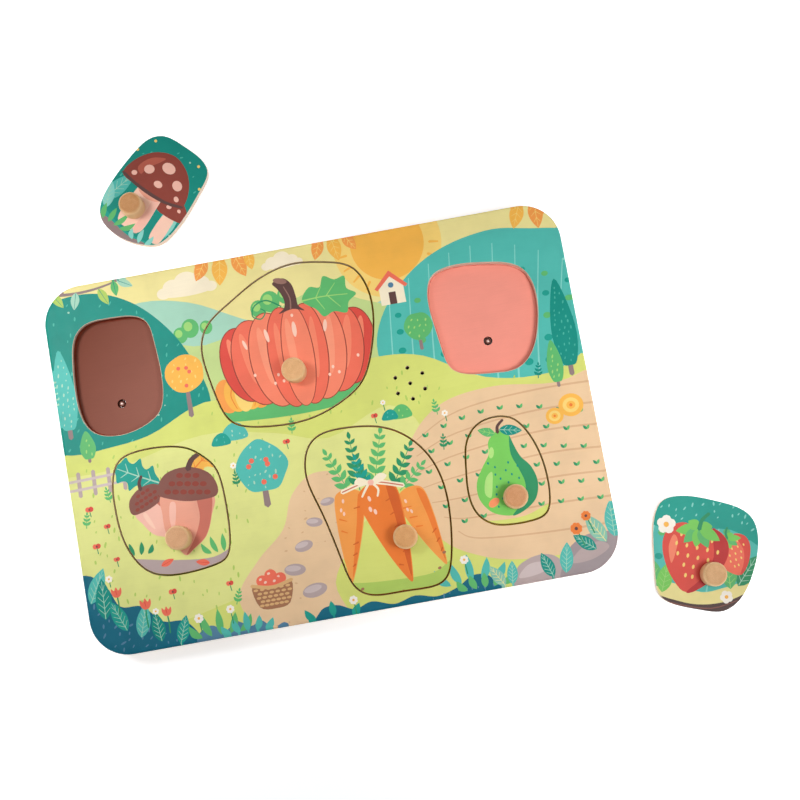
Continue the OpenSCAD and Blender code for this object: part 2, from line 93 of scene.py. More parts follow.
def line(pts, w, ink, w1=None, k=4, cap=True):
    """Brush stroke of width w, going to w1, along a smooth curve."""
    w1 = w if w1 is None else w1
    p = crom(pts, k, False) if len(pts) > 2 else [tuple(pts[0]), tuple(pts[-1])]
    n, left, right = len(p), [], []
    for i in range(n):
        a, b = p[max(i - 1, 0)], p[min(i + 1, n - 1)]
        d = math.hypot(b[0] - a[0], b[1] - a[1]) or 1
        h = (w + (w1 - w) * i / (n - 1)) / 2
        nx, ny = -(b[1] - a[1]) / d * h, (b[0] - a[0]) / d * h
        left.append((p[i][0] + nx, p[i][1] + ny))
        right.append((p[i][0] - nx, p[i][1] - ny))
    if cap:
        a, b = p[-2], p[-1]
        d = math.hypot(b[0] - a[0], b[1] - a[1]) or 1
        left.append((b[0] + (b[0] - a[0]) / d * w1 * 0.4, b[1] + (b[1] - a[1]) / d * w1 * 0.4))
        a, b = p[1], p[0]
        d = math.hypot(b[0] - a[0], b[1] - a[1]) or 1
        right.insert(0, (b[0] + (b[0] - a[0]) / d * w * 0.4, b[1] + (b[1] - a[1]) / d * w * 0.4))
    whole = left + right[::-1]
    if not crosses(whole):
        put(whole, ink)
        return
    left, right = left[:n], right[-n:]
    for i in range(n - 1):
        put([left[i], right[i], right[i + 1], left[i + 1]], ink)
        ell(p[i][0], p[i][1], (w + (w1 - w) * i / (n - 1)) / 2, None, ink, 0, 8)


def leaf(x, y, turn, l, w, ink, vein=None, side=0, k=9, bow=0.0):
    """Leaf from its foot at x, y. bow bends it sideways."""
    a = math.radians(turn)
    c, s = math.cos(a), math.sin(a)

    def at(t, v):
        u, v = t * l, v + bow * l * math.sin(math.pi * t) * 0.5
        return (x + u * c - v * s, y + u * s + v * c)

    def half(t):
        return w / 2 * math.sin(math.pi * min(1, t) ** 0.85) ** 0.85
    up = [at(i / k, half(i / k)) for i in range(k + 1)]
    dn = [at(i / k, -half(i / k)) for i in range(k - 1, 0, -1)]
    put(up + dn, ink)
    if vein:
        line([at(0.03, 0), at(0.5, 0), at(0.93, 0)], max(0.35, w * 0.05), vein, max(0.2, w * 0.025), k=3, cap=False)
        for i in range(1, side + 1):
            t = i / (side + 1) * 0.85
            for m in (-1, 1):
                h = half(min(1, t + 0.17)) * 0.75 * m
                line([at(t, 0.1 * m), at(t + 0.14, h)], max(0.3, w * 0.035), vein, 0.2, cap=False)


def inside(p, poly):
    x, y, hit = p[0], p[1], False
    for i in range(len(poly)):
        (x0, y0), (x1, y1) = poly[i - 1], poly[i]
        if (y0 > y) != (y1 > y) and x < (x1 - x0) * (y - y0) / (y1 - y0) + x0:
            hit = not hit
    return hit


def flecks(poly, ink, count, size=0.7, long=1.0, turn=90, spread=25, rng=RNG, keep=None):
    """Small dots or dashes scattered in a shape, clear of its edge."""
    xs, ys = [p[0] for p in poly], [p[1] for p in poly]
    done = tries = 0
    spots = []
    while done < count and tries < count * 40:
        tries += 1
        x, y = rng.uniform(min(xs), max(xs)), rng.uniform(min(ys), max(ys))
        r = size * rng.uniform(0.7, 1.25) / 2
        l = r * long * rng.uniform(0.8, 1.3)
        m = l + 0.9
        if not all(inside((x + dx, y + dy), poly) for dx, dy in ((m, 0), (-m, 0), (0, m), (0, -m))):
            continue
        if any(abs(x - u) < 2.2 * size + l and abs(y - v) < 2.2 * size + l for u, v in spots):
            continue
        if keep and not keep(x, y):
            continue
        spots.append((x, y))
        ell(x, y, l, r, ink, turn + rng.uniform(-spread, spread), 8 if long > 1.5 else 7)
        done += 1


def flower(x, y, r, petals, ink, eye, turn=0, slim=0.42):
    for i in range(petals):
        a = math.radians(turn + 360 * i / petals)
        ell(x + math.cos(a) * r * 0.58, y + math.sin(a) * r * 0.58, r * 0.46, r * slim, ink, math.degrees(a), 9)
    ell(x, y, r * 0.3, None, eye, 0, 9)


def tulip(x, y, r, ink, dark, stalk, h=7, lean=0.0):
    line([(x, y), (x + lean * 0.4, y - h * 0.5), (x + lean * 0.2, y - h)], 0.8, stalk)
    blob([(x - r, y + r * 0.9), (x - r * 1.05, y - r * 0.1), (x - r * 0.5, y - r * 0.95), (x + r * 0.5, y - r * 0.95),
          (x + r * 1.05, y - r * 0.1), (x + r, y + r * 0.9), (x + r * 0.45, y + r * 0.35), (x, y + r * 1.1),
          (x - r * 0.45, y + r * 0.35)], ink, 3)
    line([(x - r * 0.1, y + r * 0.3), (x, y - r * 0.5)], 0.5, dark, 0.3)


def sprig(x, y, turn, n, l, ink, size=3.0, stalk=None):
    """Stalk with pairs of small leaves."""
    a = math.radians(turn)
    c, s = math.cos(a), math.sin(a)
    line([(x, y), (x + l * c, y + l * s)], 0.55, stalk or ink, 0.35)
    for i in range(n):
        t = (i + 0.7) / n
        q = size * (1.15 - 0.55 * t)
        for m in (-1, 1):
            leaf(x + l * t * c * 0.95, y + l * t * s * 0.95, turn + m * 48, q, q * 0.5, ink, k=5)
    leaf(x + l * c, y + l * s, turn, size * 0.7, size * 0.35, ink, k=5)


def tree(x, y, r, ink, light, trunk, h, fruit=None, seed=1, squash=1.0):
    """Round tree: trunk foot at x, y, crown of radius r centred h above it."""
    rng = random.Random(seed)
    line([(x, y), (x, y + h)], r * 0.26, trunk, r * 0.16)
    line([(x, y + h * 0.55), (x + r * 0.3, y + h * 0.9)], r * 0.12, trunk, r * 0.08)
    pts = []
    for i in range(12):
        a = 2 * math.pi * i / 12
        q = r * rng.uniform(0.93, 1.06)
        pts.append((x + q * math.cos(a), y + h + q * squash * math.sin(a)))
    crown = crom(pts, 4)
    put(crown, ink)
    flecks(crown, light, int(r * 1.3), 0.9, 1.9, 70, 30, rng)
    if fruit:
        for i in range(max(3, int(r * 0.45))):
            a, q = 2.4 * i + rng.uniform(-0.3, 0.3), r * (0.25 + 0.5 * ((i * 0.37) % 1))
            ell(x + q * math.cos(a), y + h + q * math.sin(a) * squash, r * 0.105, None, fruit, 0, 10)


def poplar(x, y, w, h, ink, light, trunk, seed=1):
    line([(x, y - h * 0.1), (x, y + h * 0.3)], w * 0.2, trunk)
    pts = crom([(x, y + h), (x - w * 0.34, y + h * 0.72), (x - w * 0.5, y + h * 0.35), (x - w * 0.3, y + h * 0.04), (x, y),
                (x + w * 0.3, y + h * 0.04), (x + w * 0.5, y + h * 0.35), (x + w * 0.34, y + h * 0.72)], 4)
    put(pts, ink)
    flecks(pts, light, int(w * h / 22), 0.8, 2.2, 78, 12, random.Random(seed))


def grass(x, y, n, h, w, ink, spread=50, seed=1, turn=90):
    """Tuft of curved blades."""
    rng = random.Random(seed)
    for i in range(n):
        t = (i / (n - 1) - 0.5) * spread if n > 1 else 0
        a = turn - t + rng.uniform(-4, 4)
        leaf(x + t * 0.06 * w, y, a, h * rng.uniform(0.75, 1.05) * (1 - abs(t) / spread * 0.35), w, ink, k=7, bow=-t / spread * 0.5)


# ---------------------------------------------------------------- the picture: a harvest garden
def background():
    put([(-160, -115), (160, -115), (160, 115), (-160, 115)], "cream")
    # sun and its glow
    ell(51, 97, 31, None, "glow", 0, 48)
    ell(51, 97, 21, None, "sun", 0, 40)
    for i in range(11):
        a = math.radians(180 + 7 + i * 16.5)
        line([(51 + 24 * math.cos(a), 97 + 24 * math.sin(a)), (51 + 29 * math.cos(a), 97 + 29 * math.sin(a))], 1.5, "sun", 0.9)
    # clouds
    for x, y, q in ((-66, 92.5, 0.9), (-10, 97, 0.62)):
        for dx, dy, r in ((-14, -1.4, 4.4), (-8, 1.6, 6.2), (1, 4, 7.6), (10, 1.2, 5.8), (16, -1.6, 4.0)):
            ell(x + dx * q, y + dy * q, r * q, r * q * 0.82, "cloud", 0, 26)
        ell(x + q, y - 2.4 * q, 17 * q, 3.0 * q, "cloud", 0, 30)
    # far hills
    blob([(-175, 60), (-140, 72), (-100, 88), (-66, 84), (-30, 66), (5, 58), (45, 66), (80, 80), (118, 88), (175, 66), (180, -20), (-180, -20)], "mint")
    blob([(-178, 20), (-120, 60), (-90, 66), (-60, 58), (-20, 70), (10, 78), (36, 66), (70, 58), (178, 64), (180, -20), (-180, -20)], "sage")
    for x, y, r in ((-73, 66, 4.2), (-67, 69, 5), (-58, 68, 3.6), (-27, 73, 4.6), (-20, 76, 5.6), (-11, 78, 4.4)):
        ell(x, y, r, r * 1.1, "green", 0, 18)
        ell(x - r * 0.2, y + r * 0.25, r * 0.5, r * 0.55, "green_l", 0, 12)
    # right hill with rows
    hill = crom([(36, 44), (48, 66), (70, 84), (98, 93), (126, 92), (172, 74), (176, 0), (120, -8), (80, -4), (52, 4), (38, 22)], 6)
    put(hill, "teal")
    for i in range(9):
        x = 44 + 11.5 * i
        top = 63 + 26 * math.sin(math.pi * (i + 0.8) / 10.0)
        line([(x - 3, 4), (x - 1 + i * 0.4, top * 0.45), (x + 3 + i, top - 2)], 1.1, "teal_l", 0.5, 5)
        for t in (0.16, 0.34, 0.52, 0.70, 0.86):
            yy = 4 + (top - 10) * t
            ell(x + 3.4 + (4 + i) * t * 0.8, yy, 2.7 - 0.9 * t, 2.2 - 0.8 * t, "teal_d" if (i + int(t * 10)) % 3 else "green", 0, 12)
    # left hill
    hill = crom([(-176, 84), (-146, 97), (-120, 99), (-98, 90), (-80, 72), (-68, 50), (-62, 26), (-70, 4), (-110, -8), (-176, -4)], 6)
    put(hill, "deep")
    flecks(hill, "deep_l", 120, 0.9, 2.4, 62, 25, random.Random(3))
    flecks(hill, "mint", 26, 1.0, 1.0, 0, 0, random.Random(4))
    # middle ground
    blob([(-180, 2), (-135, 9), (-100, 13), (-66, 26), (-30, 22), (8, 30), (34, 34), (60, 30), (92, 12), (130, 8), (180, 18), (180, -120), (-180, -120)], "ygreen")
    blob([(-180, -12), (-120, -2), (-70, 8), (-30, 2), (0, -6), (36, 6), (52, -14), (30, -44), (-10, -66), (-60, -84), (-180, -98)], "ygreen_l")
    # ploughed field on the right
    field = crom([(176, 4), (130, 2), (96, 6), (66, 2), (46, -14), (38, -38), (44, -62), (64, -82), (104, -92), (176, -84)], 6)
    put(field, "sand")
    for i in range(7):
        q = i / 6
        line([(178, -2 - 78 * q), (120, 0 - 80 * q + 4 * math.sin(q * 3)), (74 - 6 * math.sin(q * 3.1), -4 - 72 * q), (48 - 8 * math.sin(q * 3.1) + 14 * q, -16 - 54 * q)],
             1.3, "sand_d", 0.5, 6)
    for i in range(6):
        q = (i + 0.5) / 6
        for j in range(9):
            t = (j + 0.4 + 0.3 * (i % 2)) / 9
            x = 50 - 8 * math.sin(q * 3.1) + 12 * q + t * 98
            y = -12 - 60 * q + 10 * math.sin(math.pi * min(1, t * 1.1)) * (1 - q * 0.8) + 6 * (1 - t) * 0
            leaf(x, y, 55, 3.1, 1.6, "green", k=5)
            leaf(x, y, 125, 3.1, 1.6, "green_d", k=5)
    # orchard side on the left and the sandy bed between
    bed = crom([(-58, -104), (-64, -84), (-50, -66), (-34, -52), (-26, -34), (-12, -24), (4, -30), (4, -60), (-10, -86), (-6, -112), (-50, -118)], 6)
    put(bed, "sand")
    flecks(bed, "sand_d", 36, 0.9, 1.8, 0, 40, random.Random(5))
    # a stone path of mauve slabs
    for x, y, rx, ry, a in ((-22, -88, 7, 3.8, 8), (-31, -75, 6, 3.3, -6), (-24, -63, 5.2, 3, 10), (-16, -51, 4.6, 2.6, -8), (-7, -41, 4, 2.2, 6)):
        ell(x, y, rx, ry, "mauve", a, 20)
        ell(x - 1, y + ry * 0.25, rx * 0.72, ry * 0.5, "mauve_l", a, 16)
    meadow = [(-146, -90), (-60, -78), (-36, -40), (-30, 0), (34, 2), (40, -8), (60, 8), (146, 6), (146, 20), (60, 26), (0, 26), (-60, 22), (-146, 2)]
    flecks(meadow, "ygreen_d", 90, 1.0, 2.4, 80, 20, random.Random(6))
    flecks([(-146, -96), (-60, -90), (-60, 0), (-146, 0)], "ygreen_d", 40, 1.0, 2.4, 80, 20, random.Random(7))


def middle():
    # farmhouse on the ridge
    put([(42, 62), (42, 73), (49, 79), (56, 73), (56, 62)], "cloud")
    put([(39.5, 72), (49, 81.5), (58.5, 72), (57, 70.6), (49, 78), (41, 70.6)], "coral")
    put([(47, 62), (47, 69), (51, 69), (51, 62)], "brown")
    ell(49, 73, 1.6, None, "slate", 0, 12)
    # trees
    poplar(-143, 24, 13, 46, "teal", "mint", "mauve_d", 11)
    poplar(-134.5, 6, 9, 16, "green", "green_l", "mauve_d", 12)
    poplar(140, 10, 14, 50, "deep", "deep_l", "mauve_d", 13)
    poplar(131.5, 2, 9, 24, "green", "green_l", "mauve_d", 14)
    tree(-74, 20, 11, "sun", "glow", "mauve_d", 24, "coral", 21)
    tree(-40, -37, 14.5, "teal", "mint", "mauve_d", 22, "coral", 22)
    tree(60, 34, 8, "green", "green_l", "mauve_d", 13, None, 23)
    # little fence on the left
    for i in range(5):
        x = -151 + 8.5 * i
        line([(x, -14), (x + 0.3, -1)], 2.2, "mauve")
    for y in (-5, -10):
        line([(-156, y - 0.5), (-114, y + 0.5)], 1.5, "mauve_l")
    # hay bales
    for x, y, r in ((136, -12, 7), (126, -16.5, 5)):
        ell(x, y, r, r * 0.92, "sun", 0, 26)
        ell(x, y, r * 0.66, r * 0.6, "glow", 0, 22)
        ell(x, y, r * 0.36, r * 0.32, "sun", 0, 16)
        ell(x, y, r * 0.14, None, "orange", 0, 10)
    # bushes beside the pieces
    for x, y, r, a, b in ((-52, 6, 7, "teal", "mint"), (-60, 3, 5, "teal_d", "teal"), (42, 0.5, 5.6, "green", "green_l"), (35.5, 0, 4.2, "teal_d", "teal")):
        pts = crom([(x - r, y - r * 0.5), (x - r * 0.9, y + r * 0.2), (x - r * 0.4, y + r * 0.7), (x + r * 0.2, y + r * 0.85),
                    (x + r * 0.8, y + r * 0.45), (x + r, y - r * 0.5)], 4)
        put(pts, a)
        flecks(pts, b, 5, 0.8, 1.6, 70, 30, random.Random(int(x * 7)))
    # basket of apples in the bed
    for x, y in ((-50, -78), (-45, -75.5), (-40, -78), (-47.5, -80), (-42.5, -80)):
        ell(x, y, 3.4, 3.2, "coral", 0, 16)
        ell(x - 0.9, y + 1.0, 0.9, 0.7, "blush", 30, 8)
    put(crom([(-56, -80), (-45, -82.5), (-34, -80), (-36.5, -92), (-45, -94), (-53.5, -92)], 4), "straw_d")
    for i in range(5):
        y = -82.6 - 2.2 * i
        q = 10.4 - 0.62 * i
        for j in range(6):
            x = -45 + (j - 2.5) * q / 2.9 + (0.9 if i % 2 else -0.4)
            ell(x, y, 1.35, 0.75, "straw", 0, 9)
    line([(-56.3, -79.8), (-45, -82.2), (-33.7, -79.8)], 1.9, "straw", None, 5)


def border():
    # bottom left corner
    blob([(-160, -62), (-146, -58), (-136, -66), (-130, -78), (-118, -80), (-108, -90), (-96, -92), (-88, -102), (-80, -120), (-165, -120)], "navy")
    flecks(crom([(-150, -66), (-140, -70), (-128, -84), (-110, -92), (-96, -98), (-96, -104), (-148, -104)], 4), "slate", 34, 1.0, 2.4, 60, 40, random.Random(31))
    for x, y, a, l, w, c in ((-146, -74, 62, 21, 8.5, "teal"), (-139, -84, 88, 23, 9, "deep"), (-128, -92, 112, 19, 8, "teal_d"),
                             (-121, -97, 74, 19, 8, "teal"), (-110, -101, 96, 17, 7.5, "deep"), (-100, -104, 70, 16, 7, "teal_d")):
        leaf(x, y, a, l, w, c, "mint", 5)
    for x, y, r, h, s in ((-131, -70, 2.7, 12, 1), (-116, -79, 2.9, 13, -1), (-105, -85, 2.5, 12, 1)):
        tulip(x, y, r, "coral", "red", "green_d", h, s)
    # bottom middle
    blob([(-92, -120), (-90, -102), (-82, -97), (-74, -101), (-68, -97), (-60, -101), (-54, -99), (-48, -104), (-40, -103), (-34, -120)], "slate")
    blob([(-26, -120), (-22, -101), (-12, -98), (-2, -102), (8, -99.5), (20, -103), (32, -100.5), (44, -103), (56, -100), (66, -95), (76, -99), (84, -120)], "navy")
    flecks(crom([(-24, -104), (0, -104), (30, -104), (66, -98), (80, -104), (40, -105.5), (-10, -105.5)], 3), "slate", 20, 0.9, 2.0, 80, 20, random.Random(32))
    for x, y, n, h, w, c, s in ((-77, -103, 5, 15, 4.2, "green", 41), (-62, -104, 5, 12, 3.8, "teal", 42), (64, -99, 5, 16, 4.6, "teal", 43),
                                (-14, -104, 3, 11, 4, "teal_d", 44), (71, -103, 5, 11, 4, "green", 45)):
        grass(x, y, n, h, w, c, 84, s)
    for x, y, r in ((-88, -92, 2.6), (-70, -90, 2.3), (-2, -97, 2.4), (62, -86, 2.4)):
        line([(x, y), (x + 0.6, y - 8)], 0.6, "green_d")
        flower(x, y, r, 7, "white", "sun", 10 * r)
    # bottom right corner: stones and broad leaves
    blob([(86, -120), (88, -99), (96, -92), (108, -91), (116, -98), (124, -120)], "mauve")
    blob([(90, -101), (96, -95), (104, -94.5), (108, -98), (100, -101)], "mauve_l")
    blob([(112, -120), (116, -96), (126, -86), (140, -84), (160, -90), (160, -120)], "stone")
    blob([(120, -98), (127, -91), (137, -89), (142, -93), (132, -98)], "mauve")
    for x, y, a, l, w, c, v in ((109, -104, 108, 15, 7, "deep", "mint"), (116, -103, 78, 17, 7.5, "teal", "mint"), (82, -104, 120, 14, 6.5, "mint_d", "cream"),
                                (86, -104, 82, 13, 6, "teal", "mint"), (141, -90, 118, 19, 8.5, "mint_d", "cream"), (146, -88, 88, 20, 8.5, "teal", "mint"), (135, -93, 140, 15, 7, "deep", "mint")):
        leaf(x, y, a, l, w, c, v, 5)
    for x, y, r in ((126, -80, 3.3), (132.5, -74, 2.7)):
        line([(x, y), (x + 3, y - 10)], 0.7, "green_d")
        flower(x, y, r, 8, "orange", "brown", 12)
    # poppies and daisies over the meadow
    for x, y, r in ((-139, -22, 1.9), (-130.5, -33, 1.6), (-138, -43, 1.9), (-68, -76, 1.7), (-100, -75, 1.9), (-128, -52, 1.5), (27, 1.5, 1.6), (-24, -4, 1.7)):
        line([(x, y), (x + 0.5, y - 4.2)], 0.5, "green_d")
        ell(x - r * 0.45, y, r * 0.75, r * 0.8, "coral", 20, 10)
        ell(x + r * 0.5, y + 0.1, r * 0.75, r * 0.8, "red", -20, 10)
        ell(x, y - 0.1, r * 0.28, None, "brown", 0, 7)
    for x, y, r in ((-134, -62, 2.0), (-55.5, -12, 1.8), (66, -4, 1.8), (33, 8, 1.5), (-111, -84, 1.8)):
        line([(x, y), (x + 0.4, y - 4.6)], 0.5, "green_d")
        flower(x, y, r, 6, "white", "sun", 15)
    for x, y, a, c in ((-142, -32, 80, "green"), (-126.5, -20, 100, "green"), (-55, -24, 92, "green_d"), (-20, 0, 84, "green"), (62, -24, 84, "green_d"),
                       (-66, -88, 70, "green"), (121, 6, 80, "deep"), (62, -4, 96, "green")):
        sprig(x, y, a, 3, 7, c, 3.2)
    # twig with leaves and apples across the top left
    line([(-156, 106), (-136, 101), (-118, 101), (-102, 104)], 2.2, "mauve_d", 0.9)
    for x, y, a, l, w, c in ((-142, 103, -58, 11, 5, "ygreen_d"), (-128, 101, -104, 10, 5, "mint"), (-115, 101, -66, 11, 5, "ygreen_d"), (-104, 104, -30, 10, 4.6, "mint"), (-106, 104, -86, 9, 4.4, "green")):
        leaf(x, y, a, l, w, c, "deep", 0)
    # top middle: hanging leaf ends of an orange tree outside the picture
    for x, a, l, w, c in ((-44, -98, 17, 9, "sun"), (-36, -70, 15, 8, "orange_l"), (-52, -122, 14, 7.5, "orange_l"), (-28, -84, 11, 6, "sun"),
                          (14, -112, 13, 7, "orange_l"), (20, -80, 15, 8, "sun"), (27, -58, 12, 6.5, "orange_l"), (129, -112, 16, 8, "sun"), (137, -90, 17, 8.5, "orange_l"), (143, -64, 13, 7, "sun")):
        leaf(x, 107, a, l, w, c, "glow", 3)


def pumpkin():
    # ground and a smaller one behind
    blob([(-62, 14), (-50, 12), (-20, 10), (8, 11), (26, 16), (34, 24), (20, 24), (-10, 20), (-40, 22), (-58, 24)], "green")
    for m, x, c in ((-1, 9.5, "orange_l"), (1, 9.5, "orange_l"), (-1, 4.5, "sun"), (1, 4.5, "sun")):
        ell(-43 + m * x, 27, 6.5, 9.8, c, m * -7, 26)
    ell(-43, 27, 5.2, 10.4, "glow", 0, 26)
    line([(-43, 36), (-42.5, 39), (-40, 41.5)], 3, "brown", 2.2)
    for m in (-1, 1):
        line([(-43 + m * 4.6, 34.6), (-43 + m * 7.4, 27), (-43 + m * 5, 19.2)], 0.7, "orange", 0.4)
    # big pumpkin: pairs of ribs from the outside in
    for dx, rx, ry, c in ((31, 12.5, 21.5, "red"), (23.5, 13.5, 24.5, "coral"), (14, 13, 27, "coral_l"), (6, 10.5, 28.5, "coral")):
        for m in (-1, 1):
            ell(-9 + m * dx, 43, rx + 0.55, ry + 0.5, "brown_r", -m * dx * 0.32, 44)
            ell(-9 + m * dx, 43, rx, ry, c, -m * dx * 0.32, 44)
            ell(-9 + m * (dx + rx * 0.34), 46, rx * 0.2, ry * 0.62, "coral_l" if c != "coral_l" else "blush_c", -m * dx * 0.42, 24)
    ell(-9, 43.2, 9.1, 29.4, "brown_r", 0, 44)
    ell(-9, 43.2, 8.6, 29, "coral_l", 0, 44)
    ell(-12, 48, 2.2, 17, "blush_c", 2, 24)
    for x, y, l, w in ((-9, 58, 9, 2.6), (-25, 57, 8, 2.2), (8.5, 57, 7, 2.2), (-38, 54, 6, 1.8)):
        ell(x, y, w / 2, l / 2, "blush", -(x + 9) * 0.6, 14)
    for x, y in ((-22, 34), (-19.5, 30), (-24.5, 29.5), (9, 33), (12, 29.5), (6.5, 29), (-9, 66), (-35, 36), (24, 37)):
        ell(x, y, 0.8, 1.0, "blush", 0, 8)
    # stalk
    blob([(-16, 68), (-12.5, 71), (-12, 76), (-14.5, 82), (-17, 86), (-11, 88), (-6.5, 84), (-5, 77), (-4.5, 71), (-1.5, 67.5), (-8, 69.5)], "brown")
    line([(-9, 70), (-8.5, 76), (-11, 83)], 0.9, "brown_l", 0.5)
    ell(-12.5, 86.6, 4.0, 1.7, "brown_l", -18, 14)
    # leaf, small leaf and tendril
    blob([(-2, 73), (3, 80), (9, 79), (12, 85), (18, 82), (24, 83), (24, 76), (29, 72), (24, 68), (22, 62), (15, 64), (9, 62), (5, 67)], "green", 4)
    line([(-2, 73), (10, 73.5), (24, 72.5)], 0.9, "green_l", 0.4)
    for a, b in (((6, 73.4), (10, 79.5)), ((12, 73.5), (18, 80)), ((6, 73.2), (10, 66)), ((13, 73.2), (19, 66))):
        line([a, b], 0.6, "green_l", 0.3)
    line([(-14, 72), (-22, 77), (-29, 75), (-31, 69.5), (-26.5, 67), (-23.5, 70.5), (-26, 73)], 0.9, "green_d", 0.6, 6, False)


def acorn_at(x, y, turn, q, nut, nut_d, nut_l):
    c, s = math.cos(math.radians(turn)), math.sin(math.radians(turn))

    def to(p):
        return [(x + q * (u * c - v * s), y + q * (u * s + v * c)) for u, v in p]
    put(to(crom([(-10.5, 3), (-10.8, -6), (-8.6, -15), (-3.5, -20.5), (0, -23.5), (3.5, -20.5), (8.6, -15), (10.8, -6), (10.5, 3)], 5)), nut)
    put(to(crom([(4, 3), (5.6, -7), (3.5, -16), (0, -23.2), (3.6, -20.2), (8.5, -14.8), (10.6, -6), (10.3, 3)], 5)), nut_d)
    put(to(crom([(-7.6, -1), (-7.6, -8), (-5.8, -13), (-5.0, -8), (-5.2, -1)], 4)), nut_l)
    put(to(crom([(-12.6, 2.5), (-13, 7), (-9, 12.5), (0, 15), (9, 12.5), (13, 7), (12.6, 2.5), (6, 0.6), (0, 0), (-6, 0.6)], 5)), "brown_m")
    for i, (v, n, w) in enumerate(((11.2, 3, 5.4), (7.6, 5, 8.6), (4.0, 6, 10.4))):
        for j in range(n):
            u = (j - (n - 1) / 2) * 2 * w / n
            e = [(math.cos(a) * 1.55 * q, math.sin(a) * 1.15 * q) for a in (2 * math.pi * k / 9 for k in range(9))]
            px, py = to([(u, v)])[0]
            put([(px + a * c - b * s, py + a * s + b * c) for a, b in e], "brown_r")
    p = to([(0, 14), (1.5, 18), (5, 21)])
    line(p, 2.6 * q, "brown", 1.9 * q)


def acorn():
    blob([(-128, -52), (-116, -54), (-96, -58), (-74, -60), (-58, -54), (-58, -62), (-76, -70), (-100, -70), (-122, -62)], "mauve")
    # oak leaves
    for x, y, turn, q, ink, v in ((-98, -14, 152, 1.0, "teal_d", "mint"), (-80, -12, 38, 0.8, "sun", "orange")):
        a = math.radians(turn)
        c, s = math.cos(a), math.sin(a)

        def to(u, w):
            return (x + q * (u * c - w * s), y + q * (u * s + w * c))
        half = [(0, 1.2), (4, 4.5), (6.5, 8), (9, 4.8), (12, 6.0), (14.5, 9.6), (17, 5.6), (20, 5.8), (22.5, 7.6), (24.5, 3.6), (27, 0)]
        blob([to(u, w) for u, w in half] + [to(u, -w) for u, w in half[-2::-1]], ink, 3)
        line([to(-3, 0), to(12, 0.2), to(25, 0)], 1.0 * q, v, 0.4, 4)
        for u in (5, 12, 18.5):
            for m in (-1, 1):
                line([to(u, 0), to(u + 3, 4.2 * m)], 0.6 * q, v, 0.3)
    acorn_at(-104, -27, 24, 0.86, "pink", "pink_d", "blush")
    acorn_at(-84, -27, -10, 1.28, "pink_m", "pink_d", "pink")
    # grass and small leaves at the foot
    grass(-68, -58, 5, 11, 3, "green", 80, 51)
    grass(-116, -52, 4, 9, 2.8, "green_d", 70, 52)
    for x, y, a in ((-104, -60, 20), (-77, -63, 165)):
        leaf(x, y, a, 8, 3.6, "coral", "red", 0)


def carrot_at(x, y, turn, l, w, ink, dark, light, seed):
    """Carrot from its crown at x, y, pointing along turn."""
    a = math.radians(turn)
    c, s = math.cos(a), math.sin(a)

    def to(u, v):
        return (x + u * c - v * s, y + u * s + v * c)
    blob([to(-w * 0.10, 0), to(0, w * 0.36), to(w * 0.28, w * 0.5), to(l * 0.38, w * 0.42), to(l * 0.68, w * 0.26), to(l * 0.9, w * 0.11), to(l, 0),
          to(l * 0.9, -w * 0.12), to(l * 0.68, -w * 0.28), to(l * 0.38, -w * 0.43), to(w * 0.28, -w * 0.5), to(0, -w * 0.36)], ink)
    blob([to(l * 0.02, w * 0.30), to(w * 0.3, w * 0.47), to(l * 0.38, w * 0.39), to(l * 0.68, w * 0.24), to(l * 0.95, w * 0.03), to(l * 0.66, w * 0.10), to(l * 0.36, w * 0.2), to(l * 0.14, w * 0.24)], dark, 4)
    rng = random.Random(seed)
    for t in (0.16, 0.3, 0.43, 0.56, 0.68, 0.8):
        h = w * 0.5 * (1 - 0.9 * t)
        m = rng.choice((-1, 1))
        line([to(l * t, m * h * 0.96), to(l * t + 1.2, m * h * 0.3)], 1.0, dark if m < 0 else "rust", 0.5)
    for t, v in ((0.10, -0.22), (0.2, -0.29), (0.24, -0.2)):
        ell(*to(l * t, w * v), w * 0.07, w * 0.04, light, turn, 10)


def carrot():
    blob([(-14, -84), (0, -88), (20, -90), (44, -90), (58, -84), (60, -100), (20, -104), (-4, -100)], "ygreen_d")
    # green tops
    for x, y, a, n, l, c, q in ((6, -38, 112, 5, 24, "green", 6.5), (12, -38, 92, 6, 29, "green_d", 6.5), (20, -38, 74, 6, 30, "green", 7), (30, -40, 58, 5, 25, "green_d", 6.5), (34, -42, 40, 4, 18, "green", 6),
                                (16, -38, 102, 4, 17, "teal_d", 6)):
        sprig(x, y, a, n, l, c, q, c)
    carrot_at(6, -38, -98, 50, 17, "orange_l", "orange", "blush", 61)
    carrot_at(38, -43, -72, 46, 17, "orange_l", "orange", "blush", 62)
    carrot_at(20, -37, -78, 57, 23, "orange", "rust", "blush", 63)
    # string round the tops
    line([(2, -37.5), (18, -34.5), (36, -39.5)], 2.6, "cloud", None, 5)
    line([(2, -37.5), (18, -34.5), (36, -39.5)], 0.7, "pink_d", None, 5)
    for pts in (((19, -34.5), (24, -30.5), (28, -32.5), (24, -35.5)), ((18, -34.5), (12.5, -31), (9.5, -34), (14, -36))):
        blob(pts, "cloud", 4)
    line([(19, -35), (22, -39), (21, -43)], 1.5, "cloud", 1.0)
    line([(17.5, -35), (14.5, -39), (12.5, -42)], 1.5, "cloud", 1.0)
    ell(18.6, -34.8, 1.7, None, "pink", 0, 12)
    # crumbs of soil
    for x, y in ((-2, -86), (48, -88), (52, -80), (4, -92), (26, -97), (-6, -80)):
        ell(x, y, 1.1, 0.8, "straw_d", 15, 8)


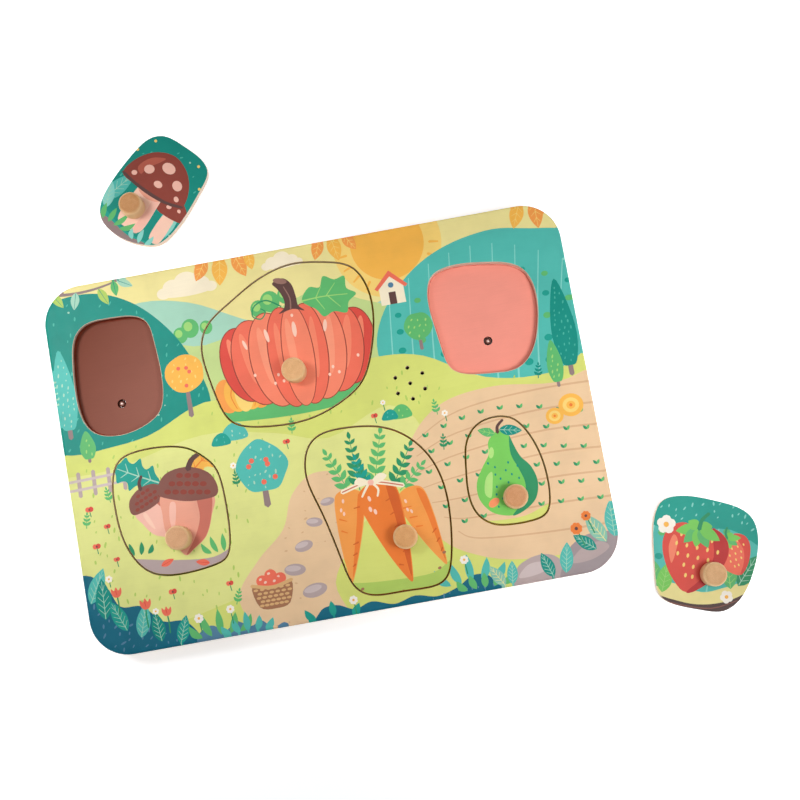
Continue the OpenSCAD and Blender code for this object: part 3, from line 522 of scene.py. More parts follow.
def pear():
    blob([(70, -66), (84, -68), (100, -68), (116, -64), (116, -76), (90, -78), (70, -74)], "ygreen")
    blob([(93, -19), (98.5, -22), (100.5, -28), (103, -35), (108, -42), (110, -51), (107, -60), (99, -65.5), (91, -66.5), (82, -63), (76.5, -55),
          (76.5, -46), (81, -38), (86, -31), (87, -24)], "lime")
    blob([(99, -23), (100.5, -28), (103, -35), (108, -42), (110, -51), (107, -60), (99, -65.5), (93, -66.6), (100, -60), (103, -51), (101, -42), (98, -33)], "green_d", 5)
    blob([(80, -52), (82, -44), (86, -41), (85, -48), (83, -55)], "lime_l", 4)
    ell(87.5, -30.5, 1.5, 3.2, "lime_l", -14, 12)
    rng = random.Random(71)
    for i in range(20):
        t = i / 19
        ell(85 + 17 * ((i * 0.618) % 1) + rng.uniform(-1, 1), -36 - 26 * t, 0.55, 0.75, "deep", 0, 7)
    ell(84, -58, 3.4, 2.2, "blush_o", 30, 14)
    line([(93, -20), (93.5, -16.5), (97, -13.5)], 1.9, "brown", 1.4)
    leaf(94, -18.5, -12, 13, 6, "deep", "mint", 3)
    leaf(91.5, -20.5, 158, 10, 5, "green", "green_l", 2)


def mushroom():
    blob([(-140, 30), (-128, 26), (-112, 22), (-96, 24), (-84, 30), (-84, 10), (-140, 10)], "teal_d")
    blob([(-138, 21), (-126, 23), (-110, 20.5), (-98, 22), (-86, 19), (-86, 14.5), (-110, 15), (-138, 15)], "mauve_d")
    for x, y, a, l, w, c in ((-134, 30, 74, 24, 9, "teal"), (-92, 28, 104, 26, 9, "teal"), (-130, 27, 112, 17, 7, "teal_l"), (-96, 27, 72, 18, 7, "teal_l")):
        leaf(x, y, a, l, w, c, "mint", 5)
    # small one
    blob([(-98.5, 26), (-99.5, 38), (-98, 45), (-93, 45), (-91.5, 38), (-92, 26)], "blush")
    blob([(-105, 43), (-103, 50), (-95.5, 54), (-88.5, 50.5), (-86.5, 44), (-95, 42)], "brown_r")
    ell(-99, 47.6, 1.6, 1.3, "pink", 20, 10)
    ell(-92.6, 48.6, 1.2, 1.0, "pink", -20, 10)
    # large one
    blob([(-120.5, 26), (-121.5, 40), (-119, 54), (-107, 54), (-104.5, 40), (-105, 26), (-112.5, 24)], "blush")
    blob([(-109.5, 25), (-109, 40), (-111, 53), (-107, 54), (-104.6, 40), (-105.2, 26)], "pink", 4)
    blob([(-119, 52), (-120.5, 47), (-113, 44.5), (-105.5, 47), (-107, 52), (-113, 54)], "pink_m", 4)
    blob([(-133.5, 50), (-131.5, 61), (-124, 70.5), (-113, 74.5), (-102, 70.5), (-94.5, 61.5), (-92.5, 51), (-102, 47.8), (-113, 47), (-124, 47.8)], "brown_r")
    blob([(-133, 51), (-124, 49.5), (-113, 49), (-102, 49.5), (-93, 52), (-92.6, 50.6), (-102, 47.7), (-113, 46.9), (-124, 47.7), (-133.4, 49.6)], "brown", 4)
    blob([(-128, 58), (-124.5, 66), (-117, 70.5), (-118.5, 66.5), (-123, 60), (-124, 55)], "rust_r", 4)
    for x, y, rx, ry, a in ((-112, 66.5, 4.2, 3.2, 0), (-121.5, 60, 3.1, 2.7, 30), (-102, 60.5, 3.3, 2.8, -30), (-112, 55.2, 2.7, 2.0, 0), (-127.8, 53.6, 1.7, 1.5, 30), (-98, 53.6, 1.8, 1.4, -30)):
        ell(x, y, rx, ry, "pink", a, 16)
    grass(-124, 21, 5, 12, 3.2, "green", 80, 81)
    grass(-100, 20, 4, 9, 3, "teal_l", 70, 82)
    for x, y in ((-128, 76), (-98, 77), (-90, 66), (-134, 66)):
        ell(x, y, 0.9, None, "glow", 0, 8)


def berry_at(x, y, turn, q, ink, dark, light, seed):
    c, s = math.cos(math.radians(turn)), math.sin(math.radians(turn))

    def to(u, v):
        return (x + q * (u * c - v * s), y + q * (u * s + v * c))
    blob([to(*p) for p in ((0, 9.5), (-8, 10.5), (-14, 6), (-15, -2), (-10.5, -12), (-4, -19), (0, -20.5), (4, -19), (10.5, -12), (15, -2), (14, 6), (8, 10.5))], ink)
    blob([to(*p) for p in ((6, 9.6), (8, 10.4), (14, 6), (15, -2), (10.5, -12), (4, -19), (0, -20.4), (6, -12), (9, -2))], dark, 4)
    blob([to(*p) for p in ((-11, 4), (-12, -2), (-9.4, -9), (-8.4, -4), (-8.6, 2))], light, 4)
    for r, (v, n, w) in enumerate(((5, 4, 9.5), (0.5, 5, 12), (-4, 4, 9.4), (-8.5, 3, 6.6), (-13, 2, 3.2))):
        for j in range(n):
            u = (j - (n - 1) / 2) * 2 * w / n + (0.8 if r % 2 else -0.3)
            px, py = to(u, v)
            ell(px, py, 0.62 * q, 1.05 * q, "glow", turn, 8)
    for a, l in ((200, 11), (235, 10), (270, 9), (305, 10), (340, 11), (160, 6), (20, 6)):
        px, py = to(0, 9.6)
        leaf(px, py, turn + a, l * q, 5.2 * q, "lime" if a % 2 == 0 else "green", k=7)
    line([to(0, 9), to(0.5, 13.5), to(3, 17)], 2.0 * q, "green_d", 1.4 * q)


def strawberry():
    blob([(64, 62), (84, 58), (112, 60), (134, 52), (134, 84), (64, 84)], "teal_d")
    flecks(crom([(70, 66), (84, 62), (112, 64), (127, 58), (128, 74), (100, 77), (72, 76)], 4), "teal_l", 26, 0.9, 2.2, 70, 30, random.Random(91))
    blob([(64, 26), (80, 28), (98, 24), (112, 28), (132, 34), (134, 8), (64, 8)], "cream")
    blob([(66, 22), (80, 19), (96, 17), (112, 20), (128, 28), (130, 22), (112, 11), (90, 9), (66, 14)], "bark")
    line([(70, 19), (86, 16), (104, 15.5), (118, 21)], 0.8, "brown_m", 0.5)
    for x, y, a, l, w, c, v in ((74, 25, 118, 20, 10, "green", "green_l"), (118, 29, 62, 20, 10, "green_d", "mint"), (76, 22, 82, 17, 8.5, "lime", "green_l"), (114, 27, 100, 19, 9, "green", "green_l")):
        leaf(x, y, a, l, w, c, v, 4)
    berry_at(113, 49, 24, 0.72, "coral", "red", "blush", 92)
    berry_at(93, 48, -8, 1.22, "red", "crimson", "coral_l", 93)
    # blossom
    flower(76, 60, 5.2, 5, "white", "sun", 18, 0.5)
    flower(112, 22.5, 3.6, 5, "white", "sun", 50, 0.5)


INKS = {
    "cream": (240, 226, 152), "glow": (250, 212, 118), "sun": (249, 184, 78), "cloud": (250, 236, 206), "mint": (166, 212, 188), "mint_d": (136, 196, 172),
    "sage": (196, 216, 140), "green": (96, 186, 110), "green_l": (160, 214, 120), "green_d": (46, 146, 98), "teal": (82, 188, 176), "teal_l": (134, 212, 200),
    "teal_d": (28, 158, 142), "deep": (10, 142, 128), "deep_l": (70, 180, 160), "ygreen": (216, 222, 118), "ygreen_l": (226, 228, 142), "ygreen_d": (178, 206, 98),
    "sand": (236, 200, 158), "sand_d": (220, 176, 136), "mauve": (184, 164, 162), "mauve_l": (206, 188, 186), "mauve_d": (148, 126, 124), "stone": (160, 146, 148),
    "coral": (240, 112, 88), "coral_l": (246, 134, 104), "red": (222, 78, 66), "crimson": (190, 48, 48), "orange": (238, 126, 52), "orange_l": (246, 158, 76),
    "rust": (214, 98, 40), "rust_r": (184, 92, 74), "brown": (96, 66, 62), "brown_l": (150, 110, 98), "brown_m": (136, 86, 76), "brown_r": (146, 66, 54), "bark": (86, 66, 62),
    "slate": (84, 130, 160), "navy": (14, 104, 128), "white": (252, 244, 232), "straw": (222, 176, 120), "straw_d": (168, 116, 84), "blush": (252, 206, 184),
    # The dark olive ink below is printed along the seated pieces' cuts as painted shade in the kerf.
    "scorch": (150, 120, 22), "cut_pale": (212, 182, 158), "blush_o": (250, 150, 100), "blush_c": (250, 152, 120), "pink": (246, 190, 172), "pink_m": (236, 164, 140), "pink_d": (206, 116, 98), "lime": (122, 204, 92), "lime_l": (180, 228, 130),
}


def paint():
    ART.clear()
    background()
    middle()
    border()
    back = list(ART)
    out = {"back": back}
    for f in (pumpkin, acorn, carrot, pear, mushroom, strawberry):
        ART.clear()
        f()
        out[f.__name__] = list(ART)
    return out


# ---------------------------------------------------------------- outlines of the recesses, board millimetres
STEPS = 8
GAP = 0.7
OUTLINE = {
    "pumpkin": [(0, 96), (15.5, 93), (30, 89.5), (37, 75), (37.5, 58.5), (33.5, 41), (27, 24), (18, 15.5), (-2, 6.5), (-19.5, 4.5),
               (-41, 6.5), (-54.5, 11), (-59, 26.5), (-62, 42.5), (-64, 56.5), (-58.5, 70.5), (-43, 79.5), (-27.5, 89.5), (-12, 95)],
    "acorn": [(-96, 6.5), (-79.5, 4), (-71, -3.5), (-63.5, -11.5), (-62.5, -29.5), (-62.5, -46.5), (-65, -62.5), (-74, -65), (-90, -67), (-107.5, -66),
             (-117.5, -57), (-124, -41.5), (-125, -24.5), (-125, -10.5), (-120.5, 3), (-110, 6)],
    "carrot": [(9.5, -1.5), (29, -3.5), (44, -12), (55.5, -27), (60, -45.5), (59, -65.5), (56.5, -81.5), (52.5, -95), (43, -98.5), (26, -97),
              (8.5, -98), (-1.5, -91), (-4.5, -77), (-8, -60), (-12, -43.5), (-18, -26.5), (-15, -10), (-6, -2)],
    "pear": [(90.5, -10), (103.5, -11.5), (111, -23.5), (115.5, -37.5), (116.5, -55), (114, -69.5), (104.5, -72), (91, -72), (80.5, -70.5), (72, -62.5),
            (70, -49.5), (72, -35.5), (73.5, -22), (81, -13)],
    "mushroom": [(-112.5, 83), (-99.5, 83), (-89.5, 78.5), (-88.5, 65.5), (-87, 50), (-87.5, 35.5), (-90.5, 24.5), (-100.5, 19), (-113, 15.5), (-129, 17.5),
                (-136, 28), (-137, 44), (-136, 60.5), (-134, 76), (-125, 83.5)],
    "strawberry": [(91.5, 78), (104.5, 76), (117, 74), (126.5, 67.5), (129.5, 53), (127, 37), (122, 22), (111.5, 12), (98, 13.5), (83.5, 14.5),
                  (72.5, 19), (71, 32), (69, 47), (67.5, 61), (70.5, 74), (80, 77.5)],
}
PEG = {"pumpkin": (-12.5, 34), "acorn": (-91, -46.5), "carrot": (32.5, -68), "pear": (96, -57), "mushroom": (-116, 36), "strawberry": (103, 34.5)}
LOOSE = {"mushroom": ((-78, 154.5), -43.5, (-111, 49)), "strawberry": ((196, -107), -15, (99, 45))}
GRILLE = [(50.0, 16.0)] + [(50 + 8.9 * math.cos(math.radians(30 + 60 * k)), 16 + 8.9 * math.sin(math.radians(30 + 60 * k))) for k in range(6)]


def spline(p):
    n, out = len(p), []
    for i in range(n):
        a, b, c, d = p[i - 1], p[i], p[(i + 1) % n], p[(i + 2) % n]
        for k in range(STEPS):
            u = k / STEPS
            w = ((1 - u) ** 3 / 6, (3 * u ** 3 - 6 * u * u + 4) / 6, (-3 * u ** 3 + 3 * u * u + 3 * u + 1) / 6, u ** 3 / 6)
            out.append(tuple(w[0] * a[m] + w[1] * b[m] + w[2] * c[m] + w[3] * d[m] for m in (0, 1)))
    return out


def inset(q, d):
    n, out = len(q), []
    for i in range(n):
        tx, ty = q[(i + 1) % n][0] - q[i - 1][0], q[(i + 1) % n][1] - q[i - 1][1]
        l = math.hypot(tx, ty)
        out.append((q[i][0] + d * ty / l, q[i][1] - d * tx / l))
    return out


def turned_left(p):
    s = sum(p[i - 1][0] * p[i][1] - p[i][0] * p[i - 1][1] for i in range(len(p)))
    return p if s > 0 else p[::-1]


def ring(x, y, r, n=24):
    return [(x + r * math.cos(2 * math.pi * i / n), y + r * math.sin(2 * math.pi * i / n)) for i in range(n)]


def rounded(hw, hh, r, n=20):
    out = []
    for cx, cy, a0 in ((hw - r, hh - r, 0), (r - hw, hh - r, 90), (r - hw, r - hh, 180), (hw - r, r - hh, 270)):
        out += [(cx + r * math.cos(math.radians(a0 + 90 * i / n)), cy + r * math.sin(math.radians(a0 + 90 * i / n))) for i in range(n + 1)]
    return out


# ---------------------------------------------------------------- the print: thin closed layers of ink on the wood
THICK = 0.05
LIFT = 0.004
FLAT_W, FLAT_H, FLAT_R, EDGE = 147.0, 103.5, 20.5, 1.5


def out_of(p):
    """Way out from the board's flat top at a point of its rim."""
    ax, ay = FLAT_W - FLAT_R, FLAT_H - FLAT_R
    x, y = p
    dx, dy = max(abs(x) - ax, 0) * (1 if x > 0 else -1), max(abs(y) - ay, 0) * (1 if y > 0 else -1)
    if abs(x) > ax and abs(y) > ay:
        l = math.hypot(dx, dy)
        return (dx / l, dy / l)
    return (1 if x > 0 else -1, 0) if abs(x) > ax and abs(abs(x) - FLAT_W) < abs(abs(y) - FLAT_H) else (0, 1 if y > 0 else -1)


def at_rim(p):
    x, y = abs(p[0]), abs(p[1])
    dx, dy = x - (FLAT_W - FLAT_R), y - (FLAT_H - FLAT_R)
    if dx > 0 and dy > 0:
        return abs(math.hypot(dx, dy) - FLAT_R) < 0.03
    return abs(x - FLAT_W) < 0.01 or abs(y - FLAT_H) < 0.01


def print_layer(name, art, region, holes, z, fillet=False, place=None, clean=None):
    """Closed skin of ink over a region. Outside the clean outline a dark ink is laid as painted shade deepening the
    kerf.
    """
    region, holes = turned_left(region), [turned_left(h) for h in holes]
    lo = [min(p[m] for p in region) for m in (0, 1)]
    hi = [max(p[m] for p in region) for m in (0, 1)]
    used, coords, faces = [], [], []
    for pts, ink in art:
        if max(p[0] for p in pts) > lo[0] and min(p[0] for p in pts) < hi[0] and max(p[1] for p in pts) > lo[1] and min(p[1] for p in pts) < hi[1]:
            used.append((turned_left(pts), ink))
    inner = [turned_left(clean)] if clean else []
    for pts in [region] + holes + inner + [u[0] for u in used]:
        faces.append(list(range(len(coords), len(coords) + len(pts))))
        coords += [Vector(p) for p in pts]
    v2, _, tris, _, _, origin = delaunay_2d_cdt(coords, [], faces, 1, 1e-4, True)
    first = 1 + len(holes) + len(inner)
    inks = sorted({ink for _, ink in used} | {"scorch", "primer"})
    number = {ink: i for i, ink in enumerate(inks)}
    kept = []
    for t, o in zip(tris, origin):
        if 0 in o and not any(1 <= i <= len(holes) for i in o):
            top = max(o)
            a, b, c = (v2[i] for i in t)
            if (b.x - a.x) * (c.y - a.y) - (b.y - a.y) * (c.x - a.x) < 0:
                t = t[::-1]
            # Triangles between the cut and the clean outline take the dark ink: painted shade in the kerf.
            kerf_shaded = clean and first - 1 not in o
            kept.append((tuple(t), number["scorch" if kerf_shaded else used[top - first][1] if top >= first else "primer"]))
    verts, quads, mats, uvs = [], [], [], []
    span = (hi[0] - lo[0] + 2 * EDGE * 1.62, hi[1] - lo[1] + 2 * EDGE * 1.62)
    base = (lo[0] - EDGE * 1.62, lo[1] - EDGE * 1.62)

    def place_on_map(p, seen):
        u, w = (p[0] - base[0]) / span[0], (p[1] - base[1]) / span[1]
        return (0.004 + 0.992 * u, 0.064 + 0.932 * w) if seen else (0.004 + 0.992 * u, 0.004 + 0.05 * w)

    where = {}

    def vert(key, p, height, flat):
        if key not in where:
            where[key] = len(verts)
            verts.append((p[0], p[1], height))
            uvs.append(flat)
        return where[key]

    def face(keys, mat, seen):
        quads.append([where[k] for k in keys])
        mats.append((mat, seen))

    edges = {}
    for t, ink in kept:
        for i in t:
            vert(("top", i), v2[i], z + THICK, tuple(v2[i]))
        face([("top", i) for i in t], ink, True)
        for a, b in ((t[0], t[1]), (t[1], t[2]), (t[2], t[0])):
            edges[(a, b)] = ink
    rim = {e: ink for e, ink in edges.items() if (e[1], e[0]) not in edges}
    rows = 6
    for (a, b), ink in rim.items():
        for i in (a, b):
            vert(("low", i), v2[i], z + LIFT, tuple(v2[i]))
        if not (fillet and at_rim(v2[a]) and at_rim(v2[b])):
            face([("top", a), ("low", a), ("low", b), ("top", b)], ink, True)
            continue
        for i in (a, b):
            n = out_of(v2[i])
            for j in range(1, rows + 1):
                q = math.pi / 2 * j / rows
                flat = (v2[i].x + n[0] * EDGE * q, v2[i].y + n[1] * EDGE * q)
                for kind, r in (("out", EDGE + THICK), ("in", EDGE + LIFT)):
                    vert((kind, i, j), (v2[i].x + n[0] * r * math.sin(q), v2[i].y + n[1] * r * math.sin(q)), z - EDGE + r * math.cos(q), flat)
        for j in range(rows):
            o = (("top", a), ("top", b)) if j == 0 else (("out", a, j), ("out", b, j))
            face([o[0], ("out", a, j + 1), ("out", b, j + 1), o[1]], ink, True)
            o = (("low", a), ("low", b)) if j == 0 else (("in", a, j), ("in", b, j))
            face([o[0], o[1], ("in", b, j + 1), ("in", a, j + 1)], number["primer"], False)
        face([("out", a, rows), ("in", a, rows), ("in", b, rows), ("out", b, rows)], ink, True)
    # the hidden side, over the rim's loops only
    follow, loops = dict(rim.keys()), []
    while follow:
        a = next(iter(follow))
        loop = [a]
        while follow.get(loop[-1]) is not None:
            b = follow.pop(loop[-1])
            if b == loop[0]:
                break
            loop.append(b)
        loops.append(loop)
    sizes = [sum(v2[l[i - 1]].x * v2[l[i]].y - v2[l[i]].x * v2[l[i - 1]].y for i in range(len(l))) for l in loops]
    order = sorted(range(len(loops)), key=lambda i: -sizes[i])
    flat_pts, flat_faces, names = [], [], []
    for i in order:
        l = loops[i] if sizes[i] > 0 else loops[i][::-1]
        flat_faces.append(list(range(len(flat_pts), len(flat_pts) + len(l))))
        flat_pts += [v2[k] for k in l]
        names += l
    w2, _, wt, wv, _, wo = delaunay_2d_cdt(flat_pts, [], flat_faces, 1, 1e-5, True)
    for t, o in zip(wt, wo):
        if 0 in o and len(o) == 1:
            keys = [("low", names[wv[i][0]]) for i in t]
            a, b, c = (w2[i] for i in t)
            if (b.x - a.x) * (c.y - a.y) - (b.y - a.y) * (c.x - a.x) > 0:
                keys = keys[::-1]
            face(keys, number["primer"], False)
    if place:
        (px, py), turn, (mx, my) = place
        c, s = math.cos(math.radians(turn)), math.sin(math.radians(turn))
        verts = [(px + (x - mx) * c - (y - my) * s, py + (x - mx) * s + (y - my) * c, h) for x, y, h in verts]
    mesh = bpy.data.meshes.new(name)
    mesh.from_pydata([(x / 1000, y / 1000, h / 1000) for x, y, h in verts], [], quads)
    for ink in inks:
        mesh.materials.append(ink_material(ink))
    mesh.polygons.foreach_set("material_index", [m for m, _ in mats])
    mesh.polygons.foreach_set("use_smooth", [True] * len(quads))
    layer = mesh.uv_layers.new(name="OFBake")
    spots = []
    for q, (_, seen) in zip(quads, mats):
        for i in q:
            spots += place_on_map(uvs[i], seen)
    layer.data.foreach_set("uv", spots)
    mesh.update()
    mesh.set_sharp_from_angle(angle=math.radians(32))
    ob = bpy.data.objects.new(name, mesh)
    bpy.context.scene.collection.objects.link(ob)
    print("PRINT", name, len(verts), len(quads), len(loops), len(inks), flush=True)
    return ob


# ---------------------------------------------------------------- materials
def lin(c, k=1.0):
    return tuple(k * (x / 12.92 if x <= 0.04045 else ((x + 0.055) / 1.055) ** 2.4) for x in (v / 255 for v in c[:3])) + (1.0,)


class Graph:
    """Short ways to build a node material. Coordinates are the object's own, in millimetres."""

    def __init__(self, name):
        self.mat = bpy.data.materials.new(name)
        self.mat.use_nodes = True
        self.tree = self.mat.node_tree
        self.tree.nodes.clear()
        out = self.node("ShaderNodeOutputMaterial")
        self.bsdf = self.node("ShaderNodeBsdfPrincipled")
        self.link(self.bsdf.outputs[0], out.inputs[0])
        self.coord = self.node("ShaderNodeTexCoord").outputs["Object"]
        self.mm = self.mapping((1000, 1000, 1000))

    def node(self, kind):
        return self.tree.nodes.new(kind)

    def link(self, a, b):
        self.tree.links.new(a, b)

    def put(self, socket, value):
        if isinstance(value, bpy.types.NodeSocket):
            self.link(value, socket)
        else:
            socket.default_value = value

    def mapping(self, scale, loc=(0, 0, 0), rot=(0, 0, 0), source=None):
        n = self.node("ShaderNodeMapping")
        self.link(source or self.coord, n.inputs["Vector"])
        n.inputs["Location"].default_value = loc
        n.inputs["Rotation"].default_value = [math.radians(a) for a in rot]
        n.inputs["Scale"].default_value = scale
        return n.outputs[0]

    def stretch(self, x=1.0, y=1.0, z=1.0, loc=(0, 0, 0), rot=(0, 0, 0)):
        return self.mapping((x, y, z), loc, rot, self.mm)

    def noise(self, vec, scale=1.0, detail=2.0, rough=0.5, distort=0.0):
        n = self.node("ShaderNodeTexNoise")
        self.link(vec, n.inputs["Vector"])
        n.inputs["Scale"].default_value = scale
        n.inputs["Detail"].default_value = detail
        n.inputs["Roughness"].default_value = rough
        n.inputs["Distortion"].default_value = distort
        return n.outputs["Fac"]

    def cells(self, vec, scale=1.0, feature="F1", random=1.0):
        n = self.node("ShaderNodeTexVoronoi")
        n.feature = feature
        self.link(vec, n.inputs["Vector"])
        n.inputs["Scale"].default_value = scale
        n.inputs["Randomness"].default_value = random
        return n.outputs["Distance"]

    def wave(self, vec, scale=1.0, distort=2.0, detail=2.0, dscale=1.0, kind="BANDS", direction="Y"):
        n = self.node("ShaderNodeTexWave")
        n.wave_type = kind
        if kind == "BANDS":
            n.bands_direction = direction
        else:
            n.rings_direction = direction
        self.link(vec, n.inputs["Vector"])
        n.inputs["Scale"].default_value = scale
        n.inputs["Distortion"].default_value = distort
        n.inputs["Detail"].default_value = detail
        n.inputs["Detail Scale"].default_value = dscale
        return n.outputs["Fac"]

    def ramp(self, fac, stops, mode="LINEAR"):
        n = self.node("ShaderNodeValToRGB")
        n.color_ramp.interpolation = mode
        e = n.color_ramp.elements
        while len(e) > 1:
            e.remove(e[0])
        for i, (at, value) in enumerate(stops):
            s = e[0] if i == 0 else e.new(at)
            s.position = at
            s.color = value if isinstance(value, tuple) else (value, value, value, 1)
        self.link(fac, n.inputs[0])
        return n.outputs[0]

    def math(self, op, a, b=0.0, c=0.0, clamp=False):
        n = self.node("ShaderNodeMath")
        n.operation = op
        n.use_clamp = clamp
        self.put(n.inputs[0], a)
        self.put(n.inputs[1], b)
        if len(n.inputs) > 2:
            self.put(n.inputs[2], c)
        return n.outputs[0]

    def mix(self, fac, a, b, mode="MIX"):
        n = self.node("ShaderNodeMix")
        n.data_type = "RGBA"
        n.blend_type = mode
        self.put(n.inputs[0], fac)
        self.put(n.inputs[6], a)
        self.put(n.inputs[7], b)
        return n.outputs[2]

    def xyz(self, vec=None):
        n = self.node("ShaderNodeSeparateXYZ")
        self.link(vec or self.mm, n.inputs[0])
        return n.outputs

    def up(self):
        """How far the surface faces along the object's own Z."""
        n = self.node("ShaderNodeTexCoord")
        return self.xyz(n.outputs["Normal"])[2]

    def bump(self, height, strength=0.5, distance_mm=0.05, under=None):
        n = self.node("ShaderNodeBump")
        n.inputs["Strength"].default_value = strength
        n.inputs["Distance"].default_value = distance_mm / 1000
        self.link(height, n.inputs["Height"])
        if under is not None:
            self.link(under, n.inputs["Normal"])
        return n.outputs[0]

    def done(self, color=None, rough=None, normal=None, **plain):
        if color is not None:
            self.put(self.bsdf.inputs["Base Color"], color)
        if rough is not None:
            self.put(self.bsdf.inputs["Roughness"], rough)
        if normal is not None:
            self.link(normal, self.bsdf.inputs["Normal"])
        for key, value in plain.items():
            self.bsdf.inputs[key.replace("_", " ")].default_value = value
        return self.mat


made = {}
DIM = 0.95


def ink_material(ink):
    """One ink of the print: slightly uneven, with the panel's grain showing through a satin varnish."""
    if "ink_" + ink in made:
        return made["ink_" + ink]
    g = Graph("ink_" + ink)
    c = (244, 234, 214) if ink == "primer" else INKS[ink]
    lum = 0.3 * c[0] + 0.59 * c[1] + 0.11 * c[2]
    deep = tuple(v * 0.975 + 0.01 * (lum - v) for v in c)
    light = tuple(min(255, v * 1.01 + 0.015 * (255 - v)) for v in c)
    tone = g.ramp(g.noise(g.mm, 0.045, 3, 0.55), [(0.36, lin(deep, DIM)), (0.52, lin(c, DIM)), (0.68, lin(light, DIM))])
    speck = g.ramp(g.noise(g.mm, 2.3, 2, 0.6), [(0.62, 0.0), (0.70, 1.0)])
    patch = g.ramp(g.noise(g.mm, 0.11, 2, 0.5), [(0.45, 0.0), (0.62, 1.0)])
    tone = g.mix(g.math("MULTIPLY", g.math("MULTIPLY", speck, patch), 0.12), tone, lin(tuple(min(255, v + 0.35 * (255 - v)) for v in c), DIM))
    grain = g.noise(g.stretch(0.05, 1.6, 1.6), 1.0, 4, 0.6)
    tone = g.mix(0.16, tone, g.ramp(grain, [(0.3, 0.86), (0.5, 1.0), (0.7, 1.0)]), "MULTIPLY")
    tone = g.mix(0.5, tone, g.ramp(g.noise(g.mm, 5.0, 1, 0.5), [(0.3, 0.95), (0.6, 1.0)]), "MULTIPLY")
    rough = g.math("ADD", 0.40, g.math("MULTIPLY", g.noise(g.mm, 0.3, 3, 0.6), 0.16))
    normal = g.bump(grain, 0.35, 0.03, g.bump(g.noise(g.mm, 3.5, 2, 0.5), 0.25, 0.012))
    made["ink_" + ink] = g.done(tone, rough, normal, Coat_Weight=0.03, Coat_Roughness=0.28, Specular_IOR_Level=0.12)
    return made["ink_" + ink]


def plywood(name, z0, thick, plies, face=(233, 207, 172), cross=(205, 168, 130), along="X", shade=1.0, ray=0.5):
    """Thin panel: fine face veneers and crossed plies that show on every cut edge."""
    g = Graph(name)
    x, y, z = g.xyz()
    share = g.math("DIVIDE", g.math("SUBTRACT", z, z0), thick)
    wob = g.math("MULTIPLY", g.math("SUBTRACT", g.noise(g.stretch(0.05, 0.05, 0.4), 1.0, 2, 0.5), 0.5), 0.03)
    share = g.math("ADD", share, wob)
    stops, w = [], 1.0 / plies
    for i in range(plies):
        stops.append((max(0.0, i * w), 1.0 if i % 2 else 0.0))
    crossed = g.ramp(share, stops, "CONSTANT")
    long_ = g.noise(g.stretch(*((0.04, 1.3, 1.6) if along == "X" else (1.3, 0.04, 1.6))), 1.0, 5, 0.6, 0.3)
    wide = g.noise(g.stretch(*((0.012, 0.16, 0.5) if along == "X" else (0.16, 0.012, 0.5))), 1.0, 3, 0.5, 0.6)
    ends = g.noise(g.mm, 3.4, 3, 0.65)
    f = tuple(v * shade for v in face)
    k = tuple(v * shade for v in cross)
    veneer = g.mix(g.ramp(long_, [(0.32, 0.0), (0.66, 1.0)]), lin(tuple(v * 0.93 for v in f)), lin(tuple(min(255, v * 1.03) for v in f)))
    veneer = g.mix(g.ramp(wide, [(0.40, 0.0), (0.60, 0.55)]), veneer, lin((f[0] * 0.95, f[1] * 0.90, f[2] * 0.83)))
    core = g.mix(g.ramp(ends, [(0.34, 0.0), (0.62, 1.0)]), lin(tuple(v * 0.84 for v in k)), lin(k))
    tone = g.mix(crossed, veneer, core)
    line = g.math("ABSOLUTE", g.math("SUBTRACT", g.math("FRACT", g.math("MULTIPLY", share, float(plies))), 0.5))
    inner = g.math("MULTIPLY", g.math("GREATER_THAN", share, 0.6 * w), g.math("LESS_THAN", share, 1 - 0.6 * w))
    glue = g.math("MULTIPLY", g.math("GREATER_THAN", line, 0.46), inner)
    tone = g.mix(g.math("MULTIPLY", glue, 0.45), tone, lin((146 * shade, 106 * shade, 78 * shade)))
    rough = g.math("ADD", 0.52, g.math("MULTIPLY", long_, 0.18))
    height = g.math("ADD", g.math("MULTIPLY", long_, 0.7), g.math("MULTIPLY", g.math("MULTIPLY", ends, crossed), 0.6))
    return g.done(tone, rough, g.bump(height, 0.5, 0.06), Specular_IOR_Level=0.4)


